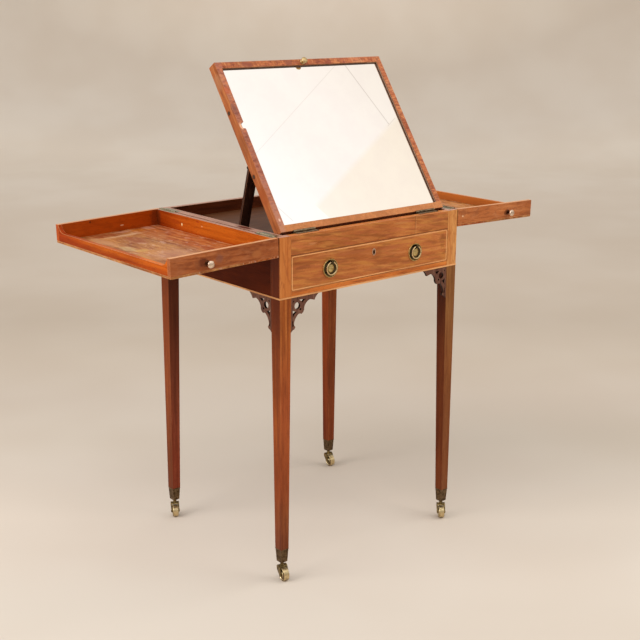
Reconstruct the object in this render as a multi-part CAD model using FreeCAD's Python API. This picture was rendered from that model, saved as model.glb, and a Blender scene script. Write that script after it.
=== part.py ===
import FreeCAD, Part
import math
import os

# Gentleman's dressing table on tapered legs and castors. Two box-shaped lids open to left and right as
# trays, a framed mirror leans up out of the well between them on a folding prop, and a drawer runs below.
# Lengths are millimetres. X runs along the front, Y from front to back, Z up from the floor.
# The origin is on the floor at the middle of the space that the open table takes up.

# The box on its legs
carcass_width = 540.0
carcass_depth = 462.0
rim_height = 794.0
box_height = 135.0
side_thick = 22.0
back_thick = 14.0
rail_thick = 18.0
frieze_height = 43.0
lower_rail_height = 14.0
post_size = 31.0
well_depth = 28.0
well_floor_thick = 21.0

# Light stringing let into the bottom edge of the box, and round the drawer front
edge_string_height = 3.4
edge_string_depth = 2.4
edge_string_proud = 0.6
drawer_string_width = 2.2
drawer_string_depth = 1.2
drawer_string_inset = 1.3
drawer_string_corner = 4.0

# Legs: the two inner faces of each leg taper down to the socket
foot_size = 21.6
socket_top = 76.0
socket_bottom = 42.0
socket_top_size = 21.0
socket_bottom_size = 17.2
socket_wall = 1.3
socket_floor = 5.0
socket_bead = 1.6
socket_bead_proud = 0.7
socket_chamfer = 1.8

# Castors
wheel_radius = 15.2
wheel_width = 13.6
wheel_edge = 1.4
wheel_groove_depth = 1.2
castor_trail = 10.0
axle_radius = 2.2
axle_clearance = 0.05
stem_radius = 3.2
stem_clearance = 0.05
neck_radius = 4.6
neck_waist_radius = 3.9
cheek_thick = 2.6
cheek_gap = 0.8
cheek_eye_radius = 4.8
crown_radius = 7.6
crown_height = 4.6
crown_clearance = 0.8
swivel_gap = 0.4
axle_head_radius = 3.0
axle_head_proud = 0.8
# headings of the four forks, in degrees anticlockwise from X, as the table was left standing
castor_angle_front_left = 258.0
castor_angle_front_right = 232.0
castor_angle_back_left = 243.0
castor_angle_back_right = 260.0

# Pierced brackets in the corners of the front legs
bracket_reach = 76.0
bracket_drop = 78.0
bracket_thick = 5.8
bracket_setback = 0.4
bracket_eye_radius = 7.8
bracket_small_eye_radius = 2.5

# Trays, which are the two halves of the lid
tray_height = 42.0
tray_board = 5.0
tray_end_wall = 10.0
tray_hinge_wall = 10.0
tray_outer_wall = 9.0
tray_gap = 3.0
tray_meeting_gap = 1.0
tray_droop_angle = 1.4
tray_cut_depth = 17.5
tray_cut_ramp = 26.0
tray_cut_start = 1.0

# Knobs on the trays and on the mirror
knob_reach = 17.5
knob_head_radius = 7.8
knob_neck_radius = 2.9
knob_rose_radius = 6.2
knob_rose_thick = 1.6
knob_head_thick = 8.6
mirror_knob_reach = 13.0
tray_knob_place = 184.0
tray_knob_drop = 23.5

# Hinges of the trays
tray_hinge_length = 62.0
tray_hinge_end = 12.0
tray_hinge_leaf = 1.5
tray_hinge_knuckle = 2.4
tray_hinge_pin = 1.0
tray_hinge_lift = 0.3
tray_hinge_fixed_width = 17.0
tray_hinge_moving_width = 8.0
knuckle_gap = 0.3
knuckle_seat_gap = 0.4
pin_clearance = 0.05

# Mirror: it leans back from a hinge line over the front rail
mirror_axis_setback = 23.2
mirror_axis_lift = 3.5
mirror_raised_angle = 55.7
mirror_side_gap = 2.0
mirror_back_gap = 9.9
mirror_foot_gap = 1.5
mirror_member_width = 16.0
mirror_thick = 24.0
mirror_lip = 5.0
mirror_rebate = 5.0
mirror_sight_bevel = 1.0
mirror_chip_place = 250.0
mirror_chip_length = 17.0
mirror_chip_depth = 9.5
mirror_chip_slope = 3.0
glass_thick = 4.0
glass_edge_gap = 0.4
backboard_thick = 5.0
mirror_hinge_length = 60.0
mirror_hinge_place = 56.0
mirror_hinge_leaf = 1.3
mirror_hinge_knuckle = 2.6
mirror_hinge_pin = 1.1
mirror_hinge_width = 15.0
mirror_hinge_tongue = 15.0

# Prop: two flat legs and a cross bar, hinged on the mirror's back, whose feet ride in racks
prop_place = 170.3
prop_lean_angle = 15.4
prop_thick = 6.0
prop_width = 26.0
prop_inset = 27.5
prop_back_gap = 0.4
prop_tongue_width = 4.0
prop_tongue_length = 9.0
prop_lug_thick = 2.0
prop_lug_gap = 0.4
prop_pin = 1.5
prop_foot_gap = 0.4
prop_bar_place = 14.0
prop_bar_width = 26.0
rack_groove_side_gap = 2.0
rack_groove_depth = 13.6
rack_path_gap = 1.0
rack_tooth_depth = 3.0
rack_tooth_pitch = 12.0
rack_teeth = 6
rack_lead = 14.0
rack_side_gap = 0.5
rack_groove_tail = 8.0
bearer_width = 20.0
bearer_length = 36.0
bearer_gap = 0.4
bearer_back_gap = 20.0

# Drawer
drawer_gap = 0.5
drawer_end_gap = 10.0
drawer_side_thick = 9.0
drawer_side_top_gap = 7.5
drawer_back_thick = 8.0
drawer_bottom_thick = 6.0
drawer_bottom_lift = 5.0
runner_width = 24.0
runner_thick = 10.0
guide_height = 20.0
lock_width = 42.0
lock_height = 32.0
lock_depth = 8.5
lock_back_wall = 2.6
bolt_width = 14.0
bolt_thick = 4.0
bolt_length = 16.0
bolt_throw = 5.0
bolt_clearance = 0.3
strike_clearance = 0.8
strike_extra_depth = 1.5
keyhole_drop = 20.0
keyhole_radius = 2.3
keyhole_slot_width = 3.2
keyhole_slot_length = 8.0
escutcheon_width = 10.0
escutcheon_height = 16.0
escutcheon_thick = 1.2
escutcheon_proud = 0.7

# Ring pulls
pull_spacing = 259.6
pull_drop = 41.1
plate_radius = 21.2
plate_thick = 1.0
plate_rim = 2.6
plate_bead = 2.4
plate_boss_radius = 10.4
plate_boss_height = 4.8
ring_mean_radius = 13.9
ring_wire_radius = 1.5
ring_stand = 6.4
eye_radius = 4.0
eye_length = 4.6
eye_clearance = 0.5

# One overrun serves all the cuts
over = 1.0

quarter_turn_angle = 90.0
full_turn_angle = 360.0

X_AXIS = FreeCAD.Vector(1, 0, 0)
Y_AXIS = FreeCAD.Vector(0, 1, 0)
Z_AXIS = FreeCAD.Vector(0, 0, 1)


def overhang(along, across, heading):
    # how far a castor reaches out past the leg's face, from its sizes along and across its heading
    turn = math.radians(heading)
    return along * abs(math.sin(turn)) + across * abs(math.cos(turn)) - socket_centre


# Places that follow from the sizes above
half_width = carcass_width / 2
box_bottom = rim_height - box_height
well_floor_top = rim_height - well_depth
socket_centre = foot_size / 2
front_reach = max(knob_reach, overhang(castor_trail + wheel_radius, wheel_width / 2 - wheel_edge,
                                       castor_angle_front_left))
back_reach = overhang(crown_radius, wheel_width / 2 + cheek_gap + cheek_thick, castor_angle_back_left)
front_y = -(carcass_depth + back_reach - front_reach) / 2
back_y = front_y + carcass_depth
tray_reach = half_width - tray_meeting_gap
well_left = -half_width + side_thick
well_front = front_y + rail_thick
well_back = back_y - back_thick
opening_top = rim_height - frieze_height
opening_bottom = box_bottom + lower_rail_height
mirror_y = front_y + mirror_axis_setback
mirror_z = rim_height + mirror_axis_lift
mirror_left = well_left + mirror_side_gap

os.makedirs("parts", exist_ok=True)


def vec(x, y, z):
    return FreeCAD.Vector(x, y, z)


def block(x0, x1, y0, y1, z0, z1):
    return Part.makeBox(x1 - x0, y1 - y0, z1 - z0, vec(x0, y0, z0))


def rod(radius, start, end):
    run = end - start
    return Part.makeCylinder(radius, run.Length, start, run)


def turned(shape, centre, axis, angle):
    copy = shape.copy()
    copy.rotate(centre, axis, angle)
    return copy


def moved(shape, x, y, z):
    copy = shape.copy()
    copy.translate(vec(x, y, z))
    return copy


def mirrored(shape):
    # the right-hand piece from the left-hand one
    return shape.mirror(vec(0, 0, 0), X_AXIS)


def front_to_back(shape):
    # the back piece from the front one
    return shape.mirror(vec(0, (front_y + back_y) / 2, 0), Y_AXIS)


def joined(shapes):
    whole = shapes[0]
    for piece in shapes[1:]:
        whole = whole.fuse(piece)
    return whole.removeSplitter()


def less(shape, cutters):
    for cutter in cutters:
        shape = shape.cut(cutter)
    return shape


def prism(points, direction):
    wire = Part.makePolygon(points + [points[0]])
    return Part.Face(wire).extrude(direction)


def lathe(profile, foot, direction):
    # profile points are (radius, height); the turned shape stands at foot and points along direction
    points = [vec(r, 0, h) for r, h in profile]
    face = Part.Face(Part.makePolygon(points + [points[0]]))
    solid = face.revolve(vec(0, 0, 0), Z_AXIS, full_turn_angle)
    solid.Placement = FreeCAD.Placement(foot, FreeCAD.Rotation(Z_AXIS, direction))
    return solid


def save(name, shapes):
    solids = []
    for shape in shapes:
        solids.extend(shape.Solids)
    out = solids[0] if len(solids) == 1 else Part.makeCompound(solids)
    out.exportStep("parts/" + name + ".step")


# The light line along the bottom edge of the front and the two sides
def make_edge_string():
    x_out = half_width + edge_string_proud
    y_out = front_y - edge_string_proud
    top = box_bottom + edge_string_height
    x_in = x_out - edge_string_depth
    y_in = y_out + edge_string_depth
    front = prism([vec(-x_out, y_out, box_bottom), vec(x_out, y_out, box_bottom),
                   vec(x_in, y_in, box_bottom), vec(-x_in, y_in, box_bottom)],
                  vec(0, 0, top - box_bottom))
    left = prism([vec(-x_out, y_out, box_bottom), vec(-x_in, y_in, box_bottom),
                  vec(-x_in, back_y, box_bottom), vec(-x_out, back_y, box_bottom)],
                 vec(0, 0, top - box_bottom))
    return [front, left, mirrored(left)]


edge_strings = make_edge_string()
well_space = block(well_left, -well_left, well_front, well_back, well_floor_top, rim_height + over)


# Tray hinges. The leaves lie flush in the two rims and the knuckles stand in the gap between them.
tray_axis_x = -half_width - tray_gap / 2
tray_axis_z = rim_height + tray_hinge_lift
tray_axis = vec(tray_axis_x, 0, tray_axis_z)


def tray_hinge_ends():
    front = front_y + tray_hinge_end
    back = back_y - tray_hinge_end - tray_hinge_length
    return [front, back]


def knuckles(length, count, radius, first):
    # spans along a hinge that belong to one leaf: every second knuckle, beginning with the given one
    step = length / count
    spans = []
    for i in range(first, count, 2):
        start = i * step + (knuckle_gap / 2 if i > 0 else 0)
        end = (i + 1) * step - (knuckle_gap / 2 if i < count - 1 else 0)
        spans.append((start, end))
    return spans


hinge_knuckles = 5


def tray_hinge_fixed(y0):
    leaf_top = rim_height
    plate = block(tray_axis_x + tray_hinge_knuckle + knuckle_seat_gap, tray_axis_x + tray_hinge_fixed_width,
                  y0, y0 + tray_hinge_length, leaf_top - tray_hinge_leaf, leaf_top)
    pieces = [plate, rod(tray_hinge_pin, vec(tray_axis_x, y0, tray_axis_z),
                         vec(tray_axis_x, y0 + tray_hinge_length, tray_axis_z))]
    for start, end in knuckles(tray_hinge_length, hinge_knuckles, tray_hinge_knuckle, 0):
        pieces.append(rod(tray_hinge_knuckle, vec(tray_axis_x, y0 + start, tray_axis_z),
                          vec(tray_axis_x, y0 + end, tray_axis_z)))
        pieces.append(block(tray_axis_x, tray_axis_x + tray_hinge_fixed_width, y0 + start, y0 + end,
                            leaf_top - tray_hinge_leaf, leaf_top))
    return joined(pieces)


def tray_hinge_moving(y0):
    leaf_top = rim_height
    plate = block(tray_axis_x - tray_gap / 2 - tray_hinge_moving_width,
                  tray_axis_x - tray_hinge_knuckle - knuckle_seat_gap,
                  y0, y0 + tray_hinge_length, leaf_top - tray_hinge_leaf, leaf_top)
    pieces = [plate]
    for start, end in knuckles(tray_hinge_length, hinge_knuckles, tray_hinge_knuckle, 1):
        pieces.append(rod(tray_hinge_knuckle, vec(tray_axis_x, y0 + start, tray_axis_z),
                          vec(tray_axis_x, y0 + end, tray_axis_z)))
        pieces.append(block(tray_axis_x - tray_gap / 2 - tray_hinge_moving_width, tray_axis_x,
                            y0 + start, y0 + end, leaf_top - tray_hinge_leaf, leaf_top))
    bore = rod(tray_hinge_pin + pin_clearance, vec(tray_axis_x, y0 - over, tray_axis_z),
               vec(tray_axis_x, y0 + tray_hinge_length + over, tray_axis_z))
    return joined(pieces).cut(bore)


def tray_hinge_seat(y0):
    # what is cut from both rims for one hinge: two shallow beds for the leaves, a hollow for the knuckles
    bed = block(tray_axis_x - tray_gap / 2 - tray_hinge_moving_width, tray_axis_x + tray_hinge_fixed_width,
                y0, y0 + tray_hinge_length, rim_height - tray_hinge_leaf, rim_height + over)
    hollow = rod(tray_hinge_knuckle + knuckle_seat_gap, vec(tray_axis_x, y0, tray_axis_z),
                 vec(tray_axis_x, y0 + tray_hinge_length, tray_axis_z))
    return bed.fuse(hollow)


tray_seats = [tray_hinge_seat(y0) for y0 in tray_hinge_ends()]
all_tray_seats = tray_seats + [mirrored(seat) for seat in tray_seats]


# Legs. Each is a square post through the box, cut away inside the well, and a tapered leg below it.
def make_leg():
    x0 = -half_width
    y0 = front_y
    post = block(x0, x0 + post_size, y0, y0 + post_size, box_bottom, rim_height)
    top = Part.makePolygon([vec(x0, y0, box_bottom), vec(x0 + post_size, y0, box_bottom),
                            vec(x0 + post_size, y0 + post_size, box_bottom),
                            vec(x0, y0 + post_size, box_bottom), vec(x0, y0, box_bottom)])
    low = Part.makePolygon([vec(x0, y0, socket_top), vec(x0 + foot_size, y0, socket_top),
                            vec(x0 + foot_size, y0 + foot_size, socket_top),
                            vec(x0, y0 + foot_size, socket_top), vec(x0, y0, socket_top)])
    taper = Part.makeLoft([top, low], True, True)
    return joined([post, taper, make_socket_core(x0, y0)])


def square_ring(x, y, z, size):
    h = size / 2
    return Part.makePolygon([vec(x - h, y - h, z), vec(x + h, y - h, z), vec(x + h, y + h, z),
                             vec(x - h, y + h, z), vec(x - h, y - h, z)])


def socket_size_at(z):
    share = (z - socket_bottom) / (socket_top - socket_bottom)
    return socket_bottom_size + (socket_top_size - socket_bottom_size) * share


def make_socket_core(x0, y0):
    # the end of the leg inside its brass socket
    low = socket_bottom + socket_floor
    cx = x0 + socket_centre
    cy = y0 + socket_centre
    upper_size = socket_size_at(socket_top) - 2 * socket_wall
    lower_size = socket_size_at(low) - 2 * socket_wall
    return Part.makeLoft([square_ring(cx, cy, socket_top, upper_size),
                          square_ring(cx, cy, low, lower_size)], True, True)


leg_plain = make_leg()
leg_carvers = [well_space] + edge_strings + all_tray_seats


def finished_leg(shape):
    return less(shape, leg_carvers)


leg_shapes = {
    "leg_front_left": finished_leg(leg_plain),
    "leg_front_right": finished_leg(mirrored(leg_plain)),
    "leg_back_left": finished_leg(front_to_back(leg_plain)),
    "leg_back_right": finished_leg(front_to_back(mirrored(leg_plain))),
}
for name, shape in leg_shapes.items():
    save(name, [shape])


# Brass sockets at the feet, with a bead round the top and a bored floor for the castor's stem
def make_socket():
    x = -half_width + socket_centre
    y = front_y + socket_centre
    body = Part.makeLoft([square_ring(x, y, socket_top, socket_top_size),
                          square_ring(x, y, socket_bottom + socket_chamfer,
                                      socket_size_at(socket_bottom + socket_chamfer))], True, True)
    foot = Part.makeLoft([square_ring(x, y, socket_bottom + socket_chamfer,
                                      socket_size_at(socket_bottom + socket_chamfer)),
                          square_ring(x, y, socket_bottom, socket_bottom_size - 2 * socket_chamfer)],
                         True, True)
    half_bead = socket_top_size / 2 + socket_bead_proud
    bead = block(x - half_bead, x + half_bead, y - half_bead, y + half_bead,
                 socket_top - socket_bead, socket_top)
    bead = bead.makeChamfer(socket_bead_proud / 2, bead.Edges)
    core = make_socket_core(-half_width, front_y)
    bore = rod(stem_radius + stem_clearance, vec(x, y, socket_bottom - over),
               vec(x, y, socket_bottom + socket_floor))
    return joined([body, foot, bead]).cut(core).cut(bore)


socket = make_socket()
sockets = [socket, mirrored(socket), front_to_back(socket), front_to_back(mirrored(socket))]
save("castor_sockets", sockets)


# Castors. The fork is a bell-shaped crown with two cheeks, an axle pin and a stem that turns in the socket.
wheel_z = wheel_radius
crown_under = wheel_z + wheel_radius + crown_clearance
crown_top = crown_under + crown_height
neck_top = socket_bottom - swivel_gap


def slab_outline(circles, y0, y1):
    # a flat plate that runs round two circles (x, z, radius), between y0 and y1
    (xa, za, ra), (xb, zb, rb) = circles
    run = math.hypot(xb - xa, zb - za)
    base = math.atan2(zb - za, xb - xa)
    spread = math.acos((ra - rb) / run)
    points = []
    for x, z, r, angle in ((xa, za, ra, base + spread), (xb, zb, rb, base + spread),
                           (xb, zb, rb, base - spread), (xa, za, ra, base - spread)):
        points.append(vec(x + r * math.cos(angle), y0, z + r * math.sin(angle)))
    web = prism(points, vec(0, y1 - y0, 0))
    discs = [rod(r, vec(x, y0, z), vec(x, y1, z)) for x, z, r in circles]
    return joined([web] + discs)


def make_fork():
    inner = wheel_width / 2 + cheek_gap
    outer = inner + cheek_thick
    crown_z = crown_top - crown_radius
    cheek = slab_outline([(0, crown_z, crown_radius), (castor_trail, wheel_z, cheek_eye_radius)],
                         inner, outer)
    other = cheek.mirror(vec(0, 0, 0), Y_AXIS)
    crown = rod(crown_radius, vec(0, -outer, crown_z), vec(0, outer, crown_z))
    hollow = rod(wheel_radius + crown_clearance, vec(castor_trail, -inner, wheel_z),
                 vec(castor_trail, inner, wheel_z))
    # the crown narrows to the neck as a bell does
    bell = lathe([(0, crown_z), (outer, crown_z), (outer, crown_under - crown_clearance),
                  (crown_radius, crown_top - crown_clearance), (neck_radius, crown_top), (0, crown_top)],
                 vec(0, 0, 0), Z_AXIS)
    crown = crown.common(bell).cut(hollow)
    neck = lathe([(0, crown_top - over), (neck_radius, crown_top - over), (neck_radius, crown_top),
                  (neck_waist_radius, (crown_top + neck_top) / 2), (neck_radius, neck_top), (0, neck_top)],
                 vec(0, 0, 0), Z_AXIS)
    stem = rod(stem_radius, vec(0, 0, neck_top - over),
               vec(0, 0, socket_bottom + socket_floor - swivel_gap))
    axle = rod(axle_radius, vec(castor_trail, -outer, wheel_z), vec(castor_trail, outer, wheel_z))
    head = lathe([(0, 0), (axle_head_radius, 0), (axle_head_radius, axle_head_proud / 2),
                  (axle_radius, axle_head_proud), (0, axle_head_proud)],
                 vec(castor_trail, outer, wheel_z), Y_AXIS)
    heads = [head, head.mirror(vec(0, 0, 0), Y_AXIS)]
    cheeks = [c.cut(hollow) for c in (cheek, other)]
    return joined([crown, neck, stem, axle] + cheeks + heads)


def make_wheel():
    half = wheel_width / 2
    bore = axle_radius + axle_clearance
    hub = axle_head_radius + axle_radius
    rim = wheel_radius - wheel_edge
    lip = rim - wheel_edge
    profile = [(bore, -half), (hub, -half), (hub + wheel_groove_depth, -half + wheel_groove_depth),
               (lip - wheel_groove_depth, -half + wheel_groove_depth), (lip, -half), (rim, -half),
               (wheel_radius - wheel_edge / 3, -half + wheel_edge / 2), (wheel_radius, -half + wheel_edge),
               (wheel_radius, half - wheel_edge), (wheel_radius - wheel_edge / 3, half - wheel_edge / 2),
               (rim, half), (lip, half), (lip - wheel_groove_depth, half - wheel_groove_depth),
               (hub + wheel_groove_depth, half - wheel_groove_depth), (hub, half), (bore, half)]
    return lathe(profile, vec(castor_trail, 0, wheel_z), Y_AXIS)


castor_places = {
    "front_left": (-1, 1, castor_angle_front_left),
    "front_right": (1, 1, castor_angle_front_right),
    "back_left": (-1, -1, castor_angle_back_left),
    "back_right": (1, -1, castor_angle_back_right),
}
fork = make_fork()
wheel = make_wheel()
for place, (sx, sy, heading) in castor_places.items():
    x = sx * (half_width - socket_centre)
    y = front_y + socket_centre if sy > 0 else back_y - socket_centre
    for kind, shape in (("castor_fork_", fork), ("castor_wheel_", wheel)):
        save(kind + place, [moved(turned(shape, vec(0, 0, 0), Z_AXIS, heading), x, y, 0)])


# Box: two sides, the back, the rail over the drawer, the rail under it and the floor of the well
side_left = less(block(-half_width, well_left, front_y + post_size, back_y - post_size,
                       box_bottom, rim_height), edge_strings + all_tray_seats)
save("side_left", [side_left])
save("side_right", [mirrored(side_left)])
back_panel = less(block(-half_width + post_size, half_width - post_size, well_back, back_y,
                        box_bottom, rim_height), edge_strings)
save("back_panel", [back_panel])

lock_y = front_y + rail_thick - lock_depth
bolt_y = lock_y + (lock_depth - bolt_thick) / 2
drawer_top = opening_top - drawer_gap
drawer_base = opening_bottom + drawer_gap
strike = block(-bolt_width / 2 - strike_clearance, bolt_width / 2 + strike_clearance,
               bolt_y - strike_clearance, bolt_y + bolt_thick + strike_clearance,
               opening_top - over, opening_top + bolt_throw + strike_extra_depth)
frieze = block(-half_width + post_size, half_width - post_size, front_y, well_front,
               opening_top, rim_height).cut(strike)
save("frieze_rail", [frieze])
lower_rail = less(block(-half_width + post_size, half_width - post_size, front_y, well_front,
                        box_bottom, opening_bottom), edge_strings)
save("lower_rail", [lower_rail])
save("edge_stringing", edge_strings)

# The path of the prop's foot as the mirror goes down, which sets the racks in the well floor
prop_w = mirror_thick + prop_back_gap + prop_thick / 2
prop_swing_angle = mirror_raised_angle + quarter_turn_angle - prop_lean_angle
foot_radius = prop_thick / 2


def prop_pivot_at(angle):
    a = math.radians(angle)
    return (mirror_y + prop_place * math.cos(a) + prop_w * math.sin(a),
            mirror_z + prop_place * math.sin(a) - prop_w * math.cos(a))


rest_pivot = prop_pivot_at(mirror_raised_angle)
prop_rise = rest_pivot[1] - well_floor_top - prop_foot_gap - foot_radius
prop_length = prop_rise / math.cos(math.radians(prop_lean_angle))


def foot_at(angle):
    # lowest point of the foot with the mirror raised by angle; the prop folds at a steady ratio to it
    y, z = prop_pivot_at(angle)
    down = math.radians(angle * (prop_swing_angle / mirror_raised_angle - 1))
    return (y + prop_length * math.cos(down), z - prop_length * math.sin(down) - foot_radius)


foot_rest_y = foot_at(mirror_raised_angle)[0]
foot_far_y = foot_at(0)[0]


halvings = 40


def path_height(y):
    # height of the foot's path over the place y, by halving the range of mirror angles
    low, high = 0.0, mirror_raised_angle
    for _ in range(halvings):
        mid = (low + high) / 2
        if foot_at(mid)[0] > y:
            low = mid
        else:
            high = mid
    return foot_at((low + high) / 2)[1]


groove_left = -half_width + prop_inset - rack_groove_side_gap
groove_right = -half_width + prop_inset + prop_width + rack_groove_side_gap
groove_front = foot_rest_y - rack_lead
groove_bottom = well_floor_top - rack_groove_depth
groove = block(groove_left, groove_right, groove_front, foot_far_y + rack_groove_tail,
               groove_bottom, well_floor_top + over)
floor_board = block(well_left, -well_left, well_front, well_back,
                    well_floor_top - well_floor_thick, well_floor_top)
posts = [block(-half_width, -half_width + post_size, front_y, front_y + post_size, box_bottom, rim_height)]
posts.append(mirrored(posts[0]))
posts.extend([front_to_back(p) for p in posts])
save("well_floor", [less(floor_board, posts + [groove, mirrored(groove)])])


def make_rack():
    # a saw-toothed rack whose tips lie just under the foot's path
    points = [(groove_front, groove_bottom), (groove_front, well_floor_top), (foot_rest_y, well_floor_top)]
    y = foot_rest_y
    for _ in range(rack_teeth):
        y += rack_tooth_pitch
        tip = path_height(y) - rack_path_gap
        valley = max(tip - rack_tooth_depth, groove_bottom + rack_side_gap)
        points.append((y, valley))
        points.append((y, tip))
    points.append((y + rack_tooth_pitch / 2, groove_bottom))
    x0 = groove_left + rack_side_gap
    x1 = groove_right - rack_side_gap
    return prism([vec(x0, y, z) for y, z in points], vec(x1 - x0, 0, 0))


rack = make_rack()
save("prop_racks", [rack, mirrored(rack)])

# Bearers at the back of the well, which carry the mirror when it lies flat
bearer = block(well_left, well_left + bearer_width, well_back - bearer_back_gap - bearer_length,
               well_back - bearer_back_gap, well_floor_top, mirror_z - mirror_thick - bearer_gap)
save("mirror_bearers", [bearer, mirrored(bearer)])

# Runners under the drawer's sides, each with a guide strip against the side of the box
runner = joined([block(well_left, well_left + runner_width, well_front, well_back,
                       opening_bottom - runner_thick, opening_bottom),
                 block(well_left, -half_width + post_size, well_front, well_back,
                       opening_bottom - runner_thick, opening_bottom + guide_height)])
runner = less(runner, posts)
save("drawer_runners", [runner, mirrored(runner)])

# Tray hinges on the box
fixed_hinges = [tray_hinge_fixed(y0) for y0 in tray_hinge_ends()]
save("tray_hinge_leaves", fixed_hinges + [mirrored(h) for h in fixed_hinges])


# Pierced brackets. The outline and the holes are drawn in the corner's plane: u runs out along the
# underside of the box, v runs down the leg.
def bracket_point(u_share, v_share):
    return vec(bracket_reach * u_share, 0, -bracket_drop * v_share)


def bracket_wire(start, runs):
    # a closed wire of straight runs (one point) and arcs (a point on the way, then the end), all in shares
    edges = []
    here = bracket_point(*start)
    for run in runs:
        there = bracket_point(*run[-1])
        if len(run) == 1:
            edges.append(Part.LineSegment(here, there).toShape())
        else:
            edges.append(Part.Arc(here, bracket_point(*run[0]), there).toShape())
        here = there
    return Part.Wire(edges)


def make_bracket():
    # the edge against the leg follows the leg's taper
    taper_share = bracket_drop * (post_size - foot_size) / (box_bottom - socket_top) / bracket_reach
    edge_shares = [[(1.0, 0.0)], [(0.995, 0.02)], [(0.907, 0.104), (0.863, 0.181)],
                   [(0.795, 0.163), (0.70, 0.136)], [(0.58, 0.19), (0.482, 0.328)], [(0.475, 0.405)],
                   [(0.429, 0.473), (0.38, 0.508)], [(0.297, 0.488), (0.218, 0.537)],
                   [(0.153, 0.617), (0.117, 0.70)], [(0.108, 0.777), (0.153, 0.841)],
                   [(0.133, 0.892), (0.067, 0.922)], [(0.026, 0.955), (-taper_share, 1.0)], [(0.0, 0.0)]]
    plate = Part.Face(bracket_wire((0.0, 0.0), edge_shares)).extrude(vec(0, bracket_thick, 0))
    # the holes: between the eye and the tip, in the corner, between the eye and the leg, the low slot
    hole_shares = [
        ((0.29, 0.09), [[(0.56, 0.096)], [(0.487, 0.122), (0.415, 0.199)], [(0.362, 0.128), (0.29, 0.09)]]),
        ((0.066, 0.09), [[(0.151, 0.09)], [(0.098, 0.115), (0.066, 0.167)], [(0.066, 0.09)]]),
        ((0.059, 0.346), [[(0.12, 0.392), (0.211, 0.43)], [(0.118, 0.487), (0.066, 0.577)],
                          [(0.059, 0.346)]]),
        ((0.043, 0.665), [[(0.08, 0.64)], [(0.08, 0.75), (0.10, 0.81)], [(0.045, 0.83)], [(0.043, 0.665)]]),
    ]
    cutters = [Part.Face(bracket_wire(start, runs)) for start, runs in hole_shares]
    # the eye in the middle of the scroll, and the small eye where its arms cross
    eye_shares = (0.228, 0.251)
    small_eye_shares = (0.337, 0.367)
    for centre, radius in ((eye_shares, bracket_eye_radius), (small_eye_shares, bracket_small_eye_radius)):
        eye = Part.Circle(bracket_point(*centre), Y_AXIS, radius).toShape()
        cutters.append(Part.Face(Part.Wire([eye])))
    for cutter in cutters:
        plate = plate.cut(moved(cutter, 0, -over, 0).extrude(vec(0, bracket_thick + 2 * over, 0)))
    return plate


bracket = make_bracket()
corner_x = -half_width + post_size
front_bracket = moved(bracket, corner_x, front_y + bracket_setback, box_bottom)
# the same bracket turned into the side of the table
side_bracket = turned(bracket, vec(0, 0, 0), Z_AXIS, quarter_turn_angle)
side_bracket = moved(side_bracket, -half_width + bracket_setback + bracket_thick, front_y + post_size,
                     box_bottom)
save("bracket_front_left", [front_bracket])
save("bracket_front_right", [mirrored(front_bracket)])
save("bracket_side_left", [side_bracket])
save("bracket_side_right", [mirrored(side_bracket)])


# Knobs: a rose, a neck and a mushroom head, whose outline is in shares of its radius and its thickness
knob_head_shares = [(0.72, 0.12), (0.95, 0.28), (1.0, 0.45), (0.93, 0.66), (0.72, 0.84), (0.4, 0.96),
                    (0.0, 1.0)]


def make_knob(reach, foot, direction):
    share = reach / knob_reach
    head = knob_head_thick * share
    r = knob_head_radius
    base = reach - head
    profile = [(0, -over), (knob_neck_radius, -over), (knob_neck_radius, 0), (knob_rose_radius, 0),
               (knob_rose_radius, knob_rose_thick / 2),
               (knob_rose_radius - knob_rose_thick / 2, knob_rose_thick),
               (knob_neck_radius, knob_rose_thick + knob_rose_thick / 2), (knob_neck_radius, base)]
    profile += [(r * across, base + head * up) for across, up in knob_head_shares]
    return lathe(profile, foot, direction)


# Trays, drawn level and then let down by their droop about the hinge line
def make_tray():
    x_in = -half_width - tray_gap
    x_out = x_in - tray_reach
    top = rim_height
    wall_foot = top - tray_height + tray_board
    board = block(x_out, x_in, front_y, back_y, top - tray_height, wall_foot)
    front_wall = block(x_out, x_in, front_y, front_y + tray_end_wall, wall_foot, top)
    back_wall = front_to_back(front_wall)
    hinge_wall = block(x_in - tray_hinge_wall, x_in, front_y + tray_end_wall, back_y - tray_end_wall,
                       wall_foot, top)
    outer = make_outer_wall(x_out, wall_foot, top)
    knob_place = vec(-half_width - tray_knob_place, front_y, top - tray_knob_drop)
    knob = make_knob(knob_reach, knob_place, vec(0, -1, 0))
    socket_hole = rod(knob_neck_radius, knob_place, knob_place + vec(0, over, 0))
    front_wall = less(front_wall, tray_seats + [socket_hole])
    back_wall = less(back_wall, tray_seats)
    hinge_wall = less(hinge_wall, tray_seats)
    leaves = [tray_hinge_moving(y0) for y0 in tray_hinge_ends()]
    pieces = {
        "tray_board": [board],
        "tray_end_walls": [front_wall, back_wall],
        "tray_hinge_wall": [hinge_wall],
        "tray_outer_wall": [outer],
        "tray_knob": [knob],
        "tray_hinges": leaves,
    }
    return {name: [turned(s, tray_axis, Y_AXIS, -tray_droop_angle) for s in shapes]
            for name, shapes in pieces.items()}


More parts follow.
